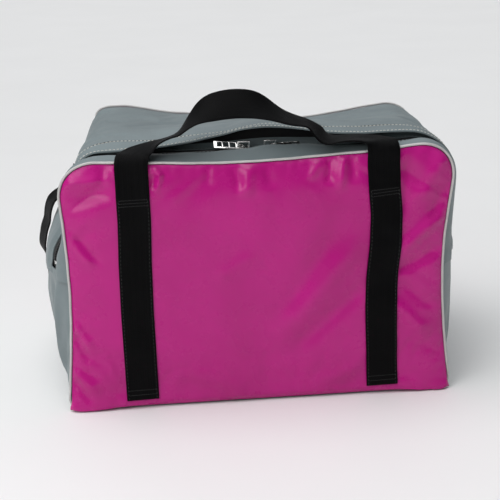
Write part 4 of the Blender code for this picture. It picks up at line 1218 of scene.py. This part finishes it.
# ---------------------------------------------------------------- inside and small sewing
def binding(name, side):
    """The folded tape over the raw edges inside a seam."""
    st = outline(0.005)
    ys = np.linspace(0, 1, 6)
    y = side * (SEAM_Y - 0.0006 - 0.0085 * ys)
    off = np.full((len(st), 6), -CLOTH - 0.0022) - 0.0010 * np.sin(np.pi * ys)[None, :]
    p = sag(on_gusset(st, y, off))
    p = np.concatenate([p, p[:1]])
    return skin("seam_tape_" + name, p, "binding", thickness=0.0008, body="bag", slot="binding",
                replaces=("seam_binding_" + name,))


binding("front", -1)
binding("back", 1)
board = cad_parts["base_board"]
for material_slot in board.material_slots:
    material_slot.material = MATS["board"]

for label, y in (("strip", STRIP_EDGE_Y - 0.0028), ("lid", LID_EDGE_Y + 0.0016)):
    st = top_path(SIDE_SEAM_Z + 0.012, 0.004)
    rows_y = np.array([y])
    if label == "strip":
        off = np.full((len(st), 1), np.interp(y, strip_y, strip_off)) + 0.0001
    else:
        off = lid_surface(st, rows_y[None, :]) + 0.0001
    line = sag(on_gusset(st, rows_y, off))[:, 0]
    up = np.stack([st[:, 2], 0 * st[:, 0], st[:, 3]], 1)
    stitches("zip_stitch_" + label, line, up, "grey_thread", body="bag", slot="grey_tarpaulin")
for side in (-1, 1):
    for label, y0, y1 in (("rear", LID_EDGE_Y + 0.006, SEAM_Y - 0.004),
                          ("front", -SEAM_Y + 0.004, STRIP_EDGE_Y - 0.003)):
        ys = np.linspace(y0, y1, 60)
        st = np.array([[side * HALF_W, SIDE_SEAM_Z - 0.0045, side, 0.0]])
        line = sag(on_gusset(st, ys, np.full((1, 60), 0.0018)))[0]
        lifted = []
        for point in line:
            hit = lid_tree.ray_cast(Vector((side * 0.4, point[1], point[2])), Vector((-side, 0, 0)))[0]
            lifted.append((hit.x if hit is not None and label == "rear" else point[0], point[1], point[2]))
        up = np.tile([float(side), 0.0, 0.0], (60, 1))
        stitches(f"end_seam_stitch_{label}_{'left' if side < 0 else 'right'}", np.array(lifted), up, "grey_thread",
                 body="bag", slot="grey_tarpaulin")
tack_x = np.linspace(0.040, 0.048, 12)
tack = np.stack([tack_x, 0 * tack_x - 0.1245, 0 * tack_x + HEIGHT + 0.0006], 1)
for k in range(3):
    stitches(f"bar_tack_{k}", tack + np.array([0.0, 0.0006 * k, -0.0001 * k]), np.tile([0, 0, 1.0], (12, 1)),
             "white_thread", length=0.0034, gap=0.0003, radius=0.00042, body="bag", slot="grey_tarpaulin")

# ---------------------------------------------------------------- stage, light, camera
floor_mesh = bpy.data.meshes.new("floor")
floor_mesh.from_pydata([(-20, -20, -0.0004), (20, -20, -0.0004), (20, 20, -0.0004), (-20, 20, -0.0004)], [],
                       [(0, 1, 2, 3)])
floor_mat, floor_tree, floor_base = shader("floor_paper", (0.84, 0.84, 0.84), 0.55, specular=0.3)
grain = noise(floor_tree, place(floor_tree, False), 3.0, 6.0)
floor_tree.links.new(ramp(floor_tree, grain, (0.3, (0.83, 0.83, 0.828)), (0.7, (0.85, 0.85, 0.848))),
                     floor_base.inputs["Base Color"])
floor_mesh.materials.append(floor_mat)
floor = bpy.data.objects.new("floor", floor_mesh)
bpy.context.scene.collection.objects.link(floor)

world = bpy.data.worlds.new("studio")
bpy.context.scene.world = world
world.use_nodes = True
sky = world.node_tree
where = node(sky, "ShaderNodeSeparateXYZ")
sky.links.new(node(sky, "ShaderNodeTexCoord").outputs["Generated"], where.inputs["Vector"])
ends = maths(sky, "MULTIPLY", maths(sky, "ABSOLUTE", where.outputs["X"], 0.0), 0.60)
behind = maths(sky, "MULTIPLY", where.outputs["Y"], 0.35)
lit = maths(sky, "ADD", maths(sky, "SUBTRACT", where.outputs["Z"], ends), behind)
sky.links.new(ramp(sky, remap(sky, lit, 0.0, 1.0, -0.6, 1.0), (0.0, (0.02, 0.02, 0.021)), (0.20, (0.06, 0.061, 0.063)),
                   (0.55, (0.24, 0.245, 0.255)), (1.0, (0.70, 0.71, 0.725))),
              sky.nodes["Background"].inputs["Color"])
sky.nodes["Background"].inputs["Strength"].default_value = 1.0


def softbox(name, place_at, aim, size, power, colour=(1, 1, 1)):
    lamp = bpy.data.lights.new(name, "AREA")
    lamp.shape = "RECTANGLE"
    lamp.size, lamp.size_y = size
    lamp.energy = power
    lamp.color = colour
    made = bpy.data.objects.new(name, lamp)
    made.location = place_at
    made.rotation_euler = (Vector(aim) - Vector(place_at)).to_track_quat("-Z", "Y").to_euler()
    bpy.context.scene.collection.objects.link(made)


softbox("key", (-0.85, -1.20, 0.80), (-0.10, -0.15, 0.12), (0.7, 0.7), 5.2, (1.0, 0.99, 0.98))
ceiling = bpy.data.lights.new("ceiling", "SUN")
ceiling.energy = 2.0
ceiling.angle = math.radians(62)
lamp = bpy.data.objects.new("ceiling", ceiling)
lamp.rotation_euler = Vector((0.34, 0.16, -0.92)).to_track_quat("-Z", "Y").to_euler()
bpy.context.scene.collection.objects.link(lamp)

camera_data = bpy.data.cameras.new("camera")
camera_data.lens = 86.25
camera_data.sensor_width = 36.0
camera_data.clip_start = 0.05
camera = bpy.data.objects.new("camera", camera_data)
turn = (Matrix.Rotation(math.radians(-5.92), 4, "Z") @ Matrix.Rotation(math.radians(-16.76), 4, "X")
        @ Matrix.Rotation(math.radians(1.22), 4, "Y"))
right, ahead, above = (turn.col[k].to_3d() for k in range(3))
view = Matrix((right, above, -ahead)).transposed().to_4x4()
view.translation = (-0.1498, -1.4765, 0.5886)
camera.matrix_world = view
bpy.context.scene.collection.objects.link(camera)
bpy.context.scene.camera = camera
bpy.context.scene.view_settings.view_transform = "Standard"

bpy.context.view_layer.update()
